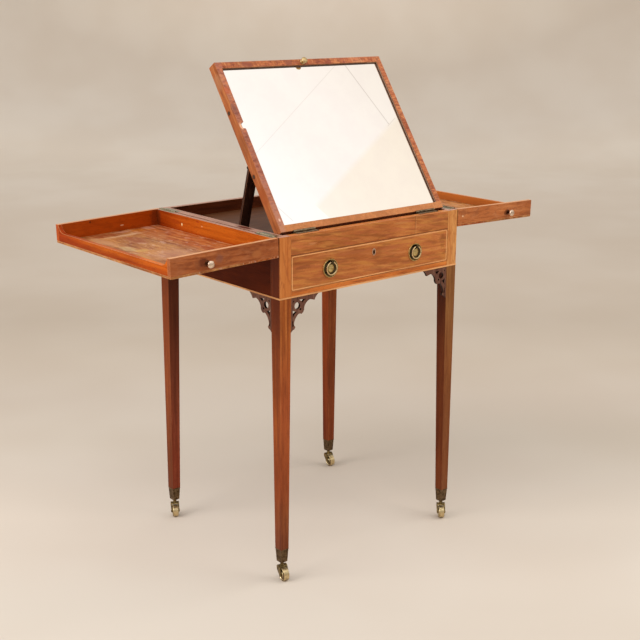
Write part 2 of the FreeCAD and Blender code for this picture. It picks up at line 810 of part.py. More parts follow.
def make_outer_wall(x_out, wall_foot, top):
    # the far wall is scooped down between its ends, to clear the mirror when shut: the curve falls
    # steeply at the end wall and then runs out level
    y0 = front_y + tray_end_wall
    y1 = back_y - tray_end_wall
    low = top - tray_cut_depth
    a = y0 + tray_cut_start
    b = a + tray_cut_ramp
    c = y1 - tray_cut_start - tray_cut_ramp
    d = y1 - tray_cut_start
    steep_share = 0.1
    fallen_share = 0.3
    level_share = 0.45

    def scoop(y_high, y_low):
        run = y_low - y_high
        curve = Part.BezierCurve()
        curve.setPoles([vec(x_out, y_high, top),
                        vec(x_out, y_high + run * steep_share, low + tray_cut_depth * fallen_share),
                        vec(x_out, y_high + run * level_share, low), vec(x_out, y_low, low)])
        return curve.toShape()

    def line(ya, za, yb, zb):
        return Part.LineSegment(vec(x_out, ya, za), vec(x_out, yb, zb)).toShape()

    edges = [line(y0, wall_foot, y0, top), line(y0, top, a, top), scoop(a, b),
             line(b, low, c, low), scoop(d, c), line(d, top, y1, top),
             line(y1, top, y1, wall_foot), line(y1, wall_foot, y0, wall_foot)]
    return Part.Face(Part.Wire(edges)).extrude(vec(tray_outer_wall, 0, 0))


for name, shapes in make_tray().items():
    save("left_" + name, shapes)
    save("right_" + name, [mirrored(s) for s in shapes])


# Mirror, drawn lying flat with its face up, then raised about its hinge line. From the hinge line, the
# frame runs back along Y and its thickness goes down.
mirror_axis = vec(0, mirror_y, mirror_z)


def raised(shape):
    return turned(shape, mirror_axis, X_AXIS, mirror_raised_angle)


frame_left = mirror_left
frame_right = -mirror_left
frame_front = mirror_y + mirror_foot_gap
frame_back = well_back - mirror_back_gap
frame_top = mirror_z
frame_base = mirror_z - mirror_thick
hinge_spans = [(-half_width + mirror_hinge_place, -half_width + mirror_hinge_place + mirror_hinge_length)]
hinge_spans.append((-hinge_spans[0][1], -hinge_spans[0][0]))


def mirror_hinge_seat(x0, x1):
    return rod(mirror_hinge_knuckle + knuckle_seat_gap, vec(x0, mirror_y, mirror_z),
               vec(x1, mirror_y, mirror_z))


def mirror_ring(inset, height):
    # a rectangle inside the frame's outline
    return Part.makePolygon([vec(frame_left + inset, frame_front + inset, height),
                             vec(frame_right - inset, frame_front + inset, height),
                             vec(frame_right - inset, frame_back - inset, height),
                             vec(frame_left + inset, frame_back - inset, height),
                             vec(frame_left + inset, frame_front + inset, height)])


def mirror_chip():
    # what has broken out of the left member's inner edge
    x_edge = frame_left + mirror_member_width
    x_deep = x_edge - mirror_chip_depth
    y0 = mirror_y + mirror_chip_place
    y1 = y0 + mirror_chip_length
    z = frame_top - mirror_lip
    return prism([vec(x_edge, y0, z), vec(x_deep, y0 + mirror_chip_slope, z),
                  vec(x_deep, y1 - mirror_chip_slope, z), vec(x_edge, y1, z)], vec(0, 0, mirror_lip + over))


def make_frame():
    w = mirror_member_width
    wide = w - mirror_rebate
    ring = block(frame_left, frame_right, frame_front, frame_back, frame_base, frame_top)
    sight = block(frame_left + w, frame_right - w, frame_front + w, frame_back - w,
                  frame_base - over, frame_top + over)
    rebate = block(frame_left + wide, frame_right - wide, frame_front + wide, frame_back - wide,
                   frame_base - over, frame_top - mirror_lip)
    s = mirror_sight_bevel
    bevel = Part.makeLoft([mirror_ring(w, frame_top - s), mirror_ring(w - s, frame_top)], True, True)
    hinge_seats = [mirror_hinge_seat(x0, x1) for x0, x1 in hinge_spans]
    ring = less(ring, [sight, rebate, bevel, mirror_chip()] + hinge_seats)
    # four members meeting in mitres
    deep = vec(0, 0, mirror_thick + 2 * over)
    z = frame_base - over
    corners = [vec(frame_left, frame_front, z), vec(frame_right, frame_front, z),
               vec(frame_right, frame_back, z), vec(frame_left, frame_back, z)]
    inner = [vec(frame_left + w, frame_front + w, z), vec(frame_right - w, frame_front + w, z),
             vec(frame_right - w, frame_back - w, z), vec(frame_left + w, frame_back - w, z)]
    members = []
    for i in range(4):
        j = (i + 1) % 4
        members.append(ring.common(prism([corners[i], corners[j], inner[j], inner[i]], deep)))
    return members


frame_members = make_frame()
glass_edge = mirror_member_width - mirror_rebate + glass_edge_gap
glass_top = frame_top - mirror_lip
glass_base = glass_top - glass_thick
glass = block(frame_left + glass_edge, frame_right - glass_edge, frame_front + glass_edge,
              frame_back - glass_edge, glass_base, glass_top)
backboard = block(frame_left + glass_edge, frame_right - glass_edge, frame_front + glass_edge,
                  frame_back - glass_edge, glass_base - backboard_thick, glass_base)
mirror_knob_foot = vec(0, frame_back - mirror_member_width / 2, frame_top)
mirror_knob = make_knob(mirror_knob_reach, mirror_knob_foot, Z_AXIS)
knob_hole = rod(knob_neck_radius, mirror_knob_foot - vec(0, 0, over), mirror_knob_foot)
frame_members = [m.cut(knob_hole) for m in frame_members]


def mirror_hinge_fixed(x0, x1):
    plate = block(x0, x1, mirror_y - mirror_hinge_tongue, well_front, rim_height,
                  rim_height + mirror_hinge_leaf)
    pieces = [plate, rod(mirror_hinge_pin, vec(x0, mirror_y, mirror_z), vec(x1, mirror_y, mirror_z))]
    for start, end in knuckles(x1 - x0, hinge_knuckles, mirror_hinge_knuckle, 0):
        pieces.append(rod(mirror_hinge_knuckle, vec(x0 + start, mirror_y, mirror_z),
                          vec(x0 + end, mirror_y, mirror_z)))
        pieces.append(block(x0 + start, x0 + end, well_front - over, mirror_y, rim_height,
                            rim_height + mirror_hinge_leaf))
    return joined(pieces)


def mirror_hinge_moving(x0, x1):
    plate = block(x0, x1, frame_front - mirror_hinge_leaf, frame_front, mirror_z - mirror_hinge_width,
                  mirror_z - mirror_hinge_knuckle - knuckle_seat_gap)
    pieces = [plate]
    for start, end in knuckles(x1 - x0, hinge_knuckles, mirror_hinge_knuckle, 1):
        pieces.append(rod(mirror_hinge_knuckle, vec(x0 + start, mirror_y, mirror_z),
                          vec(x0 + end, mirror_y, mirror_z)))
        pieces.append(block(x0 + start, x0 + end, frame_front - mirror_hinge_leaf, frame_front,
                            mirror_z - mirror_hinge_width, mirror_z))
    bore = rod(mirror_hinge_pin + pin_clearance, vec(x0 - over, mirror_y, mirror_z),
               vec(x1 + over, mirror_y, mirror_z))
    return joined(pieces).cut(bore)


save("mirror_hinge_fixed", [mirror_hinge_fixed(x0, x1) for x0, x1 in hinge_spans])
save("mirror_hinge_moving", [raised(mirror_hinge_moving(x0, x1)) for x0, x1 in hinge_spans])
save("mirror_frame", [raised(m) for m in frame_members])
save("mirror_glass", [raised(glass)])
save("mirror_backboard", [raised(backboard)])
save("mirror_knob", [raised(mirror_knob)])

# Prop, drawn folded up against the mirror's back, then swung out about its own pins
prop_y = mirror_y + prop_place
prop_z = mirror_z - prop_w
prop_pivot = vec(0, prop_y, prop_z)


def swung(shape):
    return raised(turned(shape, prop_pivot, X_AXIS, -prop_swing_angle))


leg_x0 = -half_width + prop_inset
leg_x1 = leg_x0 + prop_width
tongue_x0 = leg_x0
tongue_x1 = tongue_x0 + prop_tongue_width


def make_prop_leg():
    half = prop_thick / 2
    prop_end = prop_y + prop_length
    blade = block(leg_x0, leg_x1, prop_y + prop_tongue_length, prop_end, prop_z - half, prop_z + half)
    foot = rod(foot_radius, vec(leg_x0, prop_end, prop_z), vec(leg_x1, prop_end, prop_z))
    tongue = block(tongue_x0, tongue_x1, prop_y, prop_y + prop_tongue_length + over,
                   prop_z - half, prop_z + half)
    barrel = rod(half, vec(tongue_x0, prop_y, prop_z), vec(tongue_x1, prop_y, prop_z))
    bore = rod(prop_pin + pin_clearance, vec(tongue_x0 - over, prop_y, prop_z),
               vec(tongue_x1 + over, prop_y, prop_z))
    return joined([blade, foot, tongue, barrel]).cut(bore)


def make_prop_lugs():
    # two ears on the back of the stile and the pin between them
    half = prop_thick / 2
    pieces = []
    for x0 in (tongue_x0 - prop_lug_gap - prop_lug_thick, tongue_x1 + prop_lug_gap):
        x1 = x0 + prop_lug_thick
        pieces.append(block(x0, x1, prop_y - half, prop_y + half, prop_z, frame_base))
        pieces.append(rod(half, vec(x0, prop_y, prop_z), vec(x1, prop_y, prop_z)))
    pin_start = tongue_x0 - prop_lug_gap - prop_lug_thick
    pin_end = tongue_x1 + prop_lug_gap + prop_lug_thick
    pieces.append(rod(prop_pin, vec(pin_start, prop_y, prop_z), vec(pin_end, prop_y, prop_z)))
    return joined(pieces)


prop_leg = make_prop_leg()
bar_start = prop_y + prop_bar_place
prop_bar = block(leg_x1, -leg_x1, bar_start, bar_start + prop_bar_width, prop_z - prop_thick / 2,
                 prop_z + prop_thick / 2)
prop_lugs = make_prop_lugs()
save("prop_pivots", [raised(prop_lugs), raised(mirrored(prop_lugs))])
save("prop_legs", [swung(prop_leg), swung(mirrored(prop_leg))])
save("prop_cross_bar", [swung(prop_bar)])


# Drawer
drawer_left = -half_width + post_size + drawer_gap
drawer_right = -drawer_left
drawer_face_back = front_y + rail_thick
drawer_end = well_back - drawer_end_gap


def rounded_frame(x0, x1, z0, z1, corner, y0, y1):
    # a flat slab with rounded corners, standing in the plane of the drawer front
    slab = block(x0, x1, y0, y1, z0, z1)
    if corner > 0:
        edges = [e for e in slab.Edges if abs(e.Vertexes[0].Y - e.Vertexes[1].Y) > (y1 - y0) / 2]
        slab = slab.makeFillet(corner, edges)
    return slab


def make_drawer_string():
    i = drawer_string_inset
    w = drawer_string_width
    outer = rounded_frame(drawer_left + i, drawer_right - i, drawer_base + i, drawer_top - i,
                          drawer_string_corner, front_y, front_y + drawer_string_depth)
    inner = rounded_frame(drawer_left + i + w, drawer_right - i - w, drawer_base + i + w,
                          drawer_top - i - w, drawer_string_corner - w, front_y - over,
                          front_y + drawer_string_depth + over)
    return outer.cut(inner)


keyhole_z = drawer_top - keyhole_drop


def keyhole(y0, y1):
    return joined([rod(keyhole_radius, vec(0, y0, keyhole_z), vec(0, y1, keyhole_z)),
                   block(-keyhole_slot_width / 2, keyhole_slot_width / 2, y0, y1,
                         keyhole_z - keyhole_slot_length, keyhole_z)])


escutcheon_z = keyhole_z - keyhole_slot_length / 2 + keyhole_radius / 2


drawer_string = make_drawer_string()
lock_body_space = block(-lock_width / 2, lock_width / 2, lock_y, drawer_face_back, drawer_top - lock_height,
                        drawer_top)


def make_escutcheon_blank():
    # an upright oval: a round disc of one millimetre stretched to its three sizes
    rx = escutcheon_width / 2
    rz = escutcheon_height / 2
    unit = Part.makeCylinder(1, 1)
    grow = FreeCAD.Matrix()
    grow.scale(rx, rz, escutcheon_thick)
    disc = unit.transformGeometry(grow)
    disc.rotate(vec(0, 0, 0), X_AXIS, quarter_turn_angle)
    return moved(disc, 0, front_y - escutcheon_proud + escutcheon_thick, escutcheon_z)


escutcheon_blank = make_escutcheon_blank()
plate_centre_z = drawer_top - pull_drop
pull_x = pull_spacing / 2
drawer_front = block(drawer_left, drawer_right, front_y, drawer_face_back, drawer_base, drawer_top)
drawer_front = less(drawer_front, [drawer_string, lock_body_space, escutcheon_blank,
                                   keyhole(front_y - over, drawer_face_back)])
save("drawer_front", [drawer_front])
save("drawer_stringing", [drawer_string])
escutcheon = escutcheon_blank.cut(keyhole(front_y - escutcheon_thick, front_y + escutcheon_thick))
save("keyhole_escutcheon", [escutcheon])

bolt_top = drawer_top - bolt_clearance
bolt = block(-bolt_width / 2, bolt_width / 2, bolt_y, bolt_y + bolt_thick, bolt_top - bolt_length, bolt_top)
bolt_room = block(-bolt_width / 2 - bolt_clearance, bolt_width / 2 + bolt_clearance,
                  bolt_y - bolt_clearance, bolt_y + bolt_thick + bolt_clearance,
                  bolt_top - bolt_length - bolt_clearance, drawer_top + over)
lock_body = less(lock_body_space, [bolt_room, keyhole(lock_y - over, drawer_face_back - lock_back_wall)])
save("drawer_lock", [lock_body])
save("lock_bolt", [bolt])

side_top = well_floor_top - well_floor_thick - drawer_side_top_gap
drawer_side = block(drawer_left, drawer_left + drawer_side_thick, drawer_face_back, drawer_end,
                    drawer_base, side_top)
save("drawer_sides", [drawer_side, mirrored(drawer_side)])
save("drawer_back", [block(drawer_left + drawer_side_thick, drawer_right - drawer_side_thick,
                           drawer_end - drawer_back_thick, drawer_end, drawer_base, side_top)])
save("drawer_bottom", [block(drawer_left + drawer_side_thick, drawer_right - drawer_side_thick,
                             drawer_face_back, drawer_end - drawer_back_thick,
                             drawer_base + drawer_bottom_lift,
                             drawer_base + drawer_bottom_lift + drawer_bottom_thick)])


# Ring pulls: a turned round plate with a domed boss and an eye over it, and a ring that hangs in the eye.
# The dome's outline is in shares of its radius and its rise.
boss_shares = [(1.0, 0.0), (0.96, 0.4), (0.8, 0.72), (0.5, 0.93), (0.0, 1.0)]


def make_plate(x):
    r = plate_radius
    rise = plate_boss_height - plate_thick
    profile = [(0, 0), (r, 0), (r, plate_thick), (r - plate_bead / 4, plate_rim),
               (r - plate_bead * 3 / 4, plate_rim), (r - plate_bead, plate_thick)]
    profile += [(plate_boss_radius * across, plate_thick + rise * up) for across, up in boss_shares]
    plate = lathe(profile, vec(x, front_y, plate_centre_z), vec(0, -1, 0))
    eye_z = plate_centre_z + ring_mean_radius
    eye_y = front_y - ring_stand
    eye = rod(eye_radius, vec(x - eye_length / 2, eye_y, eye_z), vec(x + eye_length / 2, eye_y, eye_z))
    stalk = rod(eye_length / 2, vec(x, eye_y, eye_z), vec(x, front_y - plate_thick / 2, eye_z))
    bore = rod(ring_wire_radius + eye_clearance, vec(x - eye_length, eye_y, eye_z),
               vec(x + eye_length, eye_y, eye_z))
    return joined([plate, eye, stalk]).cut(bore)


def make_ring(x):
    centre = vec(x, front_y - ring_stand, plate_centre_z)
    return Part.makeTorus(ring_mean_radius, ring_wire_radius, centre, Y_AXIS)


save("pull_plates", [make_plate(-pull_x), make_plate(pull_x)])
save("ring_pull_left", [make_ring(-pull_x)])
save("ring_pull_right", [make_ring(pull_x)])
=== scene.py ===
import math
import bmesh
import bpy
from mathutils import Matrix, Vector


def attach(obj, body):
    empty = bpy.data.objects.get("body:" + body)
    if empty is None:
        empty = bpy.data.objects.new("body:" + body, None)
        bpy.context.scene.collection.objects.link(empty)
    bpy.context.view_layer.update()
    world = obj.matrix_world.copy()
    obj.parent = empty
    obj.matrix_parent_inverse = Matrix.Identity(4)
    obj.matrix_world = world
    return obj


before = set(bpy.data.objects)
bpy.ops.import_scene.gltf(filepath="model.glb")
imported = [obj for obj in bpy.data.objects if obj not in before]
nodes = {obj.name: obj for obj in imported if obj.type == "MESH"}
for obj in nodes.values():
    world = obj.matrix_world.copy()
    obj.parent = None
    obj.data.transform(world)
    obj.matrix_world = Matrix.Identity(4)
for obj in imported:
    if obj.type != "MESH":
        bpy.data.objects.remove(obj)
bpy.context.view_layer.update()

# Looks for the dressing table: old polished mahogany with boxwood stringing, worn brass and a mirror plate.
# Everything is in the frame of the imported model: X along the front, Y from front to back, Z up. Pieces and
# lamps are placed in metres; marks, patterns and the places on the wood are in millimetres.

MM = 0.001
FRONT = -222.55                 # mm, front faces of the posts
BOX_FOOT = 659.0                # mm, underside of the box
STRINGING = 3.4                 # mm, height of the light line along the box's foot
RIM_TOPS = 780.0                # mm, above it only the rims' tops face upwards
LEG_SPAN = 700.0                # mm, over which the tones of the legs are given
MIRROR_HINGE = Vector((0.0, -0.19935, 0.7975))         # the mirror's own axes start from its hinges
MIRROR_LEAN = math.radians(55.7)
MIRROR_HALF = 0.246             # half the width of the mirror's frame
MIRROR_MID = 0.2082             # its middle along the slope
MIRROR_REACH = 0.2067           # and from there to its ends
UP_SLOPE = Vector((0.0, math.cos(MIRROR_LEAN), math.sin(MIRROR_LEAN)))
INTO_FRAME = Vector((0.0, math.sin(MIRROR_LEAN), -math.cos(MIRROR_LEAN)))
MIRROR_MIDDLE = MIRROR_HINGE + UP_SLOPE * 0.206        # where the lamp and the cloth are aimed


def tone(code):
    """sRGB hex to the linear values that the shaders take"""
    parts = [int(code[i:i + 2], 16) / 255 for i in (1, 3, 5)]
    return tuple(c / 12.92 if c <= 0.04045 else ((c + 0.055) / 1.055) ** 2.4 for c in parts) + (1.0,)


def put(tree, kind, *values, named=None, out=0, stops=None, easing="EASE", **settings):
    """Adds one node with its settings. Values and links go in order to the sockets that the settings leave in
    use, or to those named; None skips one, and a hex code is a colour. stops are a colour ramp's (place, hex).
    Gives back an output, by its number among those in use or by its name, or all in use where out is None."""
    made = tree.nodes.new("ShaderNode" + kind)
    for key, value in settings.items():
        setattr(made, key, value)
    sockets = list(zip([socket for socket in made.inputs if socket.enabled], values))
    sockets += [(made.inputs[key], value) for key, value in (named or {}).items()]
    for socket, value in sockets:
        if isinstance(value, bpy.types.NodeSocket):
            tree.links.new(value, socket)
        elif value is not None:
            socket.default_value = tone(value) if isinstance(value, str) else value
    if stops:
        band = made.color_ramp
        band.interpolation = easing
        while len(band.elements) < len(stops):
            band.elements.new(0.5)
        for element, (place, code) in zip(band.elements, stops):
            element.position = place
            element.color = tone(code)
    if isinstance(out, str):
        return made.outputs[out]
    results = [socket for socket in made.outputs if socket.enabled]
    return results if out is None else results[out]


# settings of a Mix node of colours: one laid over another, or multiplied into it, by a share
OVER = {"data_type": "RGBA"}
TINT = {"data_type": "RGBA", "blend_type": "MULTIPLY"}


def start(name):
    """a new material with nothing on it yet"""
    made = bpy.data.materials.new(name)
    made.use_nodes = True
    made.node_tree.nodes.clear()
    return made, made.node_tree


def surface(tree, sockets):
    """ends a material: what its shader gets on each socket, by name"""
    put(tree, "OutputMaterial", put(tree, "BsdfPrincipled", named=sockets), out=None)


def overlap(tree, *masks):
    """1 where every mask is 1; a plain number among them is the share that they let through"""
    common = masks[0]
    for mask in masks[1:]:
        common = put(tree, "Math", common, mask, operation="MULTIPLY")
    return common


def between(tree, value, low=None, high=None):
    """1 where a coordinate lies between two places in mm; one of them may be left open"""
    masks = []
    if low is not None:
        masks.append(put(tree, "Math", value, low * MM, operation="GREATER_THAN"))
    if high is not None:
        masks.append(put(tree, "Math", value, high * MM, operation="LESS_THAN"))
    return overlap(tree, *masks)


def facing(tree, towards, least=0.6):
    """1 on the faces that look a given way, 0 on the others"""
    share = put(tree, "VectorMath", put(tree, "TexCoord", out="Normal"), towards, operation="DOT_PRODUCT")
    return put(tree, "Math", share, least, operation="GREATER_THAN")


def drawn_out(tree, at, along, long_mm, across_mm, shift, detail=3.0, rough=0.55, warp=0.0):
    """noise as grain has it: each wave long_mm long with the fibres and across_mm wide across them"""
    sizes = [1.0 / (across_mm * MM)] * 3
    sizes["XYZ".index(along)] = 1.0 / (long_mm * MM)
    scaled = put(tree, "VectorMath", at, sizes, operation="MULTIPLY")
    moved = put(tree, "VectorMath", scaled, (shift, shift * 1.7, shift * 0.6), operation="ADD")
    return put(tree, "TexNoise", moved, 1.0, detail, rough, None, warp)


def patch(tree, here, centre, reach, ragged):
    """1 inside a patch of wear, staining or painted shade and 0 outside it, with a torn edge that fades from
    0.65 to 1.15 of its reach. The centre and the reach are in mm."""
    away = put(tree, "VectorMath", here, [c * MM for c in centre], operation="SUBTRACT")
    scaled = put(tree, "VectorMath", away, [1.0 / (r * MM) for r in reach], operation="MULTIPLY")
    far = put(tree, "VectorMath", scaled, operation="LENGTH")
    torn = drawn_out(tree, here, "Y", 30.0, 9.0, centre[0] * 0.01, 3.0, 0.6)
    torn = put(tree, "Math", torn, 0.5, operation="SUBTRACT")
    edge = put(tree, "Math", torn, ragged, far, operation="MULTIPLY_ADD")
    return put(tree, "MapRange", edge, 0.65, 1.15, 1.0, 0.0)


def patched(tree, here, body, patches, ragged=1.2):
    """patches are (centre, reach, colour, share)"""
    for centre, reach, colour, share in patches:
        mask = overlap(tree, patch(tree, here, centre, reach, ragged), share)
        body = put(tree, "Mix", mask, body, colour, **OVER)
    return body


def mottled(tree, here, body, shift, blotches, long_mm=32.0, across_mm=9.0, along="X"):
    """soft blotches of other tones, as in old figured veneer; blotches are (colour, share)"""
    for count, (colour, share) in enumerate(blotches):
        cloud = drawn_out(tree, here, along, long_mm, across_mm, shift + 4.3 * count, 2.0, 0.5, 0.4)
        mask = put(tree, "MapRange", cloud, 0.50, 0.66, 0.0, share)
        body = put(tree, "Mix", mask, body, colour, **OVER)
    return body


# How a board is cut and polished: the way its fibres run, the size of its figure and of its fibres in mm
# along and across them, the tilt of the figure, where its own axes lie, whether it is laid in mitred members,
# and what age has done to it, with the light and shade that is painted on some boards
BOARD = {"along": "X", "figure": (110.0, 11.0), "tilt": (0.0, 0.0, 0.0), "shift": 0.0, "place": None,
         "fibre": (40.0, 1.5), "contrast": 1.0, "gloss": 0.40, "wax": 0.08, "members": False, "stain": None,
         "shine": 0.12}


def wood(name, tones, **changes):
    """Old planed wood under oil and wax, mahogany for the most part: a soft sheen, with darker bands of
    figure, fine fibres and short dark pores running with the grain. Real fibres are a few tenths of a
    millimetre wide; they are drawn coarser, 1 to 1.5 mm, so that they show."""
    board = dict(BOARD, **changes)
    made, tree = start(name)
    here = put(tree, "TexCoord", out="Object")
    if board["place"]:
        origin, lean = board["place"]
        here = put(tree, "Mapping", here, origin, (lean, 0.0, 0.0), vector_type="TEXTURE")
    grain = mitred_grain(tree, here) if board["members"] else here
    tilted = put(tree, "Mapping", grain, None, board["tilt"])
    along, shift = board["along"], board["shift"]
    figure = drawn_out(tree, tilted, along, *board["figure"], shift, 3.0, 0.5, 0.7)
    fibres = drawn_out(tree, grain, along, *board["fibre"], shift, 3.0, 0.6, 0.1)
    pores = drawn_out(tree, grain, along, 9.0, 0.8, shift, 1.0, 0.5)
    clouds = drawn_out(tree, here, along, 150.0, 70.0, shift + 3.0, 2.0, 0.5)
    bands = put(tree, "Math", figure, 0.5, operation="SUBTRACT")
    bands = put(tree, "Math", bands, board["contrast"], 0.5, operation="MULTIPLY_ADD")
    lines = put(tree, "Math", fibres, 0.5, operation="SUBTRACT")
    streaked = put(tree, "Math", lines, 0.45, bands, operation="MULTIPLY_ADD")
    body = put(tree, "ValToRGB", streaked, stops=list(zip((0.22, 0.5, 0.74), tones)))
    dark_pores = put(tree, "ValToRGB", pores, stops=[(0.30, "#B0A49C"), (0.40, "#FFFFFF")])
    body = put(tree, "Mix", 0.55, body, dark_pores, **TINT)
    dull_clouds = put(tree, "ValToRGB", clouds, stops=[(0.3, "#D8CCC4"), (0.62, "#FFFFFF")])
    body = put(tree, "Mix", 0.8, body, dull_clouds, **TINT)
    if board["stain"]:
        body = board["stain"](tree, here, body)
    rough = put(tree, "Math", fibres, 0.16, board["gloss"] - 0.08, operation="MULTIPLY_ADD")
    ridges = put(tree, "Math", fibres, 0.4, operation="MULTIPLY")
    relief = put(tree, "Math", pores, 0.6, ridges, operation="MULTIPLY_ADD")
    bump = put(tree, "Bump", 0.25, 0.3 * MM, None, relief)
    surface(tree, {"Base Color": body, "Roughness": rough, "Normal": bump, "IOR": 1.5,
                   "Specular IOR Level": board["shine"], "Coat Weight": board["wax"], "Coat Roughness": 0.22})
    return made


def mitred_grain(tree, here):
    """Veneer laid across each member of the frame: along X on the stiles and along Y on the rails, which
    meet at the mitres, as far from the frame's side as from its end."""
    x, y, z = put(tree, "SeparateXYZ", here, out=None)
    aside = put(tree, "Math", x, operation="ABSOLUTE")
    from_side = put(tree, "Math", MIRROR_HALF, aside, operation="SUBTRACT")
    along = put(tree, "Math", put(tree, "Math", y, MIRROR_MID, operation="SUBTRACT"), operation="ABSOLUTE")
    from_end = put(tree, "Math", MIRROR_REACH, along, operation="SUBTRACT")
    on_stile = put(tree, "Math", from_side, from_end, operation="LESS_THAN")
    return put(tree, "Mix", on_stile, put(tree, "CombineXYZ", y, x, z), here, data_type="VECTOR")


def metal(name, bright, tarnish, cover, gloss=0.32, grain_mm=6.0, relief=0.15, stain=None):
    """Cast and filed brass or iron, never polished again: a bright high spot here and there, brown or
    green tarnish over the rest, which is duller."""
    made, tree = start(name)
    here = put(tree, "TexCoord", out="Object")
    patches = drawn_out(tree, here, "X", grain_mm, grain_mm, 2.0, 4.0, 0.6, 0.4)
    specks = drawn_out(tree, here, "X", 0.9, 0.9, 5.0, 2.0, 0.5)
    body = put(tree, "ValToRGB", patches, stops=[(cover - 0.16, tarnish), (cover + 0.16, bright)])
    dark_specks = put(tree, "ValToRGB", specks, stops=[(0.3, "#9A8F85"), (0.5, "#FFFFFF")])
    body = put(tree, "Mix", 0.5, body, dark_specks, **TINT)
    if stain:
        body = stain(tree, here, body)
    rough = put(tree, "Math", patches, -0.35, gloss + 0.2, operation="MULTIPLY_ADD")
    bump = put(tree, "Bump", relief, 0.2 * MM, None, specks)
    surface(tree, {"Base Color": body, "Roughness": rough, "Normal": bump, "Metallic": 1.0})
    return made


def look(place, yaw, pitch, roll, lens):
    """the camera, where the photograph was taken from"""
    yaw, pitch, roll = (math.radians(a) for a in (yaw, pitch, roll))
    ahead = Vector((math.cos(pitch) * math.cos(yaw), math.cos(pitch) * math.sin(yaw), math.sin(pitch)))
    right = ahead.cross(Vector((0, 0, 1))).normalized()
    up = right.cross(ahead)
    tilted_right = right * math.cos(roll) + up * math.sin(roll)
    tilted_up = up * math.cos(roll) - right * math.sin(roll)
    turn = Matrix((tilted_right, tilted_up, -ahead)).transposed().to_4x4()
    camera = bpy.data.objects.new("camera", bpy.data.cameras.new("camera"))
    camera.data.lens = lens
    camera.data.sensor_width = 36.0
    camera.matrix_world = Matrix.Translation(place) @ turn
    bpy.context.scene.collection.objects.link(camera)
    bpy.context.scene.camera = camera


look(Vector((-1.7346, -2.07495, 1.2763)), yaw=49.600, pitch=-15.614, roll=0.247, lens=64.76)


# Studio: a pale sweep of backdrop all round, and soft boxes
DEPTH = (0.648, 0.7615, 0.0)            # level directions: from the front left to the back right,
ACROSS = (0.7615, -0.648, 0.0)          # and from the back left to the front right
# the paper's tone by how far back it lies from the table's middle, in metres: painted light, lighter and
# darker as the lamps light the floor, the bend and the wall
PAPER_PAINTED_LIGHT = ((-0.70, "#D1C7BB"), (-0.45, "#D4CABE"), (-0.24, "#DBD0C4"), (-0.02, "#DFD4C8"), (0.23, "#D4C9BD"),
         (0.53, "#CCC1B4"), (0.88, "#C7BBAE"), (1.32, "#C6B9AA"), (1.86, "#C4B7A8"), (2.57, "#D1C4B5"),
         (3.50, "#D8CBBC"), (4.80, "#E3D7C9"), (6.75, "#EFE5D8"), (7.25, "#E8DED2"), (7.90, "#E4D9CC"),
         (8.15, "#EEE3D5"), (8.40, "#FAEEE0"))
PAPER_NEAR, PAPER_FAR = -1.0, 9.0       # metres, between which the tones are given


def new_mesh(name, shape, smooth=False):
    """a mesh object from a bmesh, with its faces turned outwards"""
    data = bpy.data.meshes.new(name)
    bmesh.ops.recalc_face_normals(shape, faces=shape.faces)
    shape.to_mesh(data)
    shape.free()
    for face in data.polygons:
        face.use_smooth = smooth
    piece = bpy.data.objects.new(name, data)
    bpy.context.scene.collection.objects.link(piece)
    return piece


def spun(name, profile, steps):
    """a smooth skin: profile points (radius, height) turned about Z"""
    shape = bmesh.new()
    rings = []
    for radius, height in profile:
        turns = [2 * math.pi * i / steps for i in range(steps if radius else 1)]
        rings.append([shape.verts.new((radius * math.cos(a), radius * math.sin(a), height)) for a in turns])
    for low, high in zip(rings, rings[1:]):
        for i in range(steps):
            j = (i + 1) % steps
            corners = [low[i % len(low)], low[j % len(low)], high[j % len(high)], high[i % len(high)]]
            shape.faces.new(list(dict.fromkeys(corners)))
    return new_mesh(name, shape, True)


def backdrop():
    """Matt background paper, uncoated: pale and warm. Painted light: its tone changes from front to back as the
    lamps light it.
    """
    floor, bend, steps = 6.5, 2.0, 12
    profile = [(0.0, 0.0), (1.0, 0.0), (3.0, 0.0), (floor, 0.0)]
    for i in range(1, steps + 1):
        turn = math.radians(90 * i / steps)
        profile.append((floor + bend * math.sin(turn), bend - bend * math.cos(turn)))
    profile.append((floor + bend, 2.6))
    sweep = spun("backdrop", profile, 96)
    made, tree = start("matt background paper")
    here = put(tree, "TexCoord", out="Object")
    behind = put(tree, "VectorMath", here, DEPTH, operation="DOT_PRODUCT")
    depth = put(tree, "MapRange", behind, PAPER_NEAR, PAPER_FAR, 0.0, 1.0)
    stops = [((place - PAPER_NEAR) / (PAPER_FAR - PAPER_NEAR), code) for place, code in PAPER_PAINTED_LIGHT]
    body = put(tree, "ValToRGB", depth, stops=stops, easing="LINEAR")
    # painted shadow: just behind the table the paper is a little darker towards the right, where the table's
    # shadow falls
    aside = put(tree, "VectorMath", here, ACROSS, operation="DOT_PRODUCT")
    side = put(tree, "MapRange", aside, -0.7, 0.9, 0.0, 1.0)
    painted_shadow = put(tree, "ValToRGB", side, stops=[(0.0, "#FFFFFF"), (1.0, "#F1F1F0")])
    shadow_band = put(tree, "ValToRGB", depth, stops=[(0.05, "#000000"), (0.09, "#FFFFFF"), (0.15, "#FFFFFF"),
                                               (0.20, "#000000")])
    body = put(tree, "Mix", shadow_band, body, painted_shadow, **TINT)
    mottle = drawn_out(tree, here, "X", 600.0, 600.0, 1.0, 2.0, 0.5)
    uneven = put(tree, "ValToRGB", mottle, stops=[(0.3, "#FAF8F6"), (0.7, "#FFFFFF")])
    body = put(tree, "Mix", 1.0, body, uneven, **TINT)
    surface(tree, {"Base Color": body, "Roughness": 0.9, "Specular IOR Level": 0.2})
    sweep.data.materials.append(made)


backdrop()


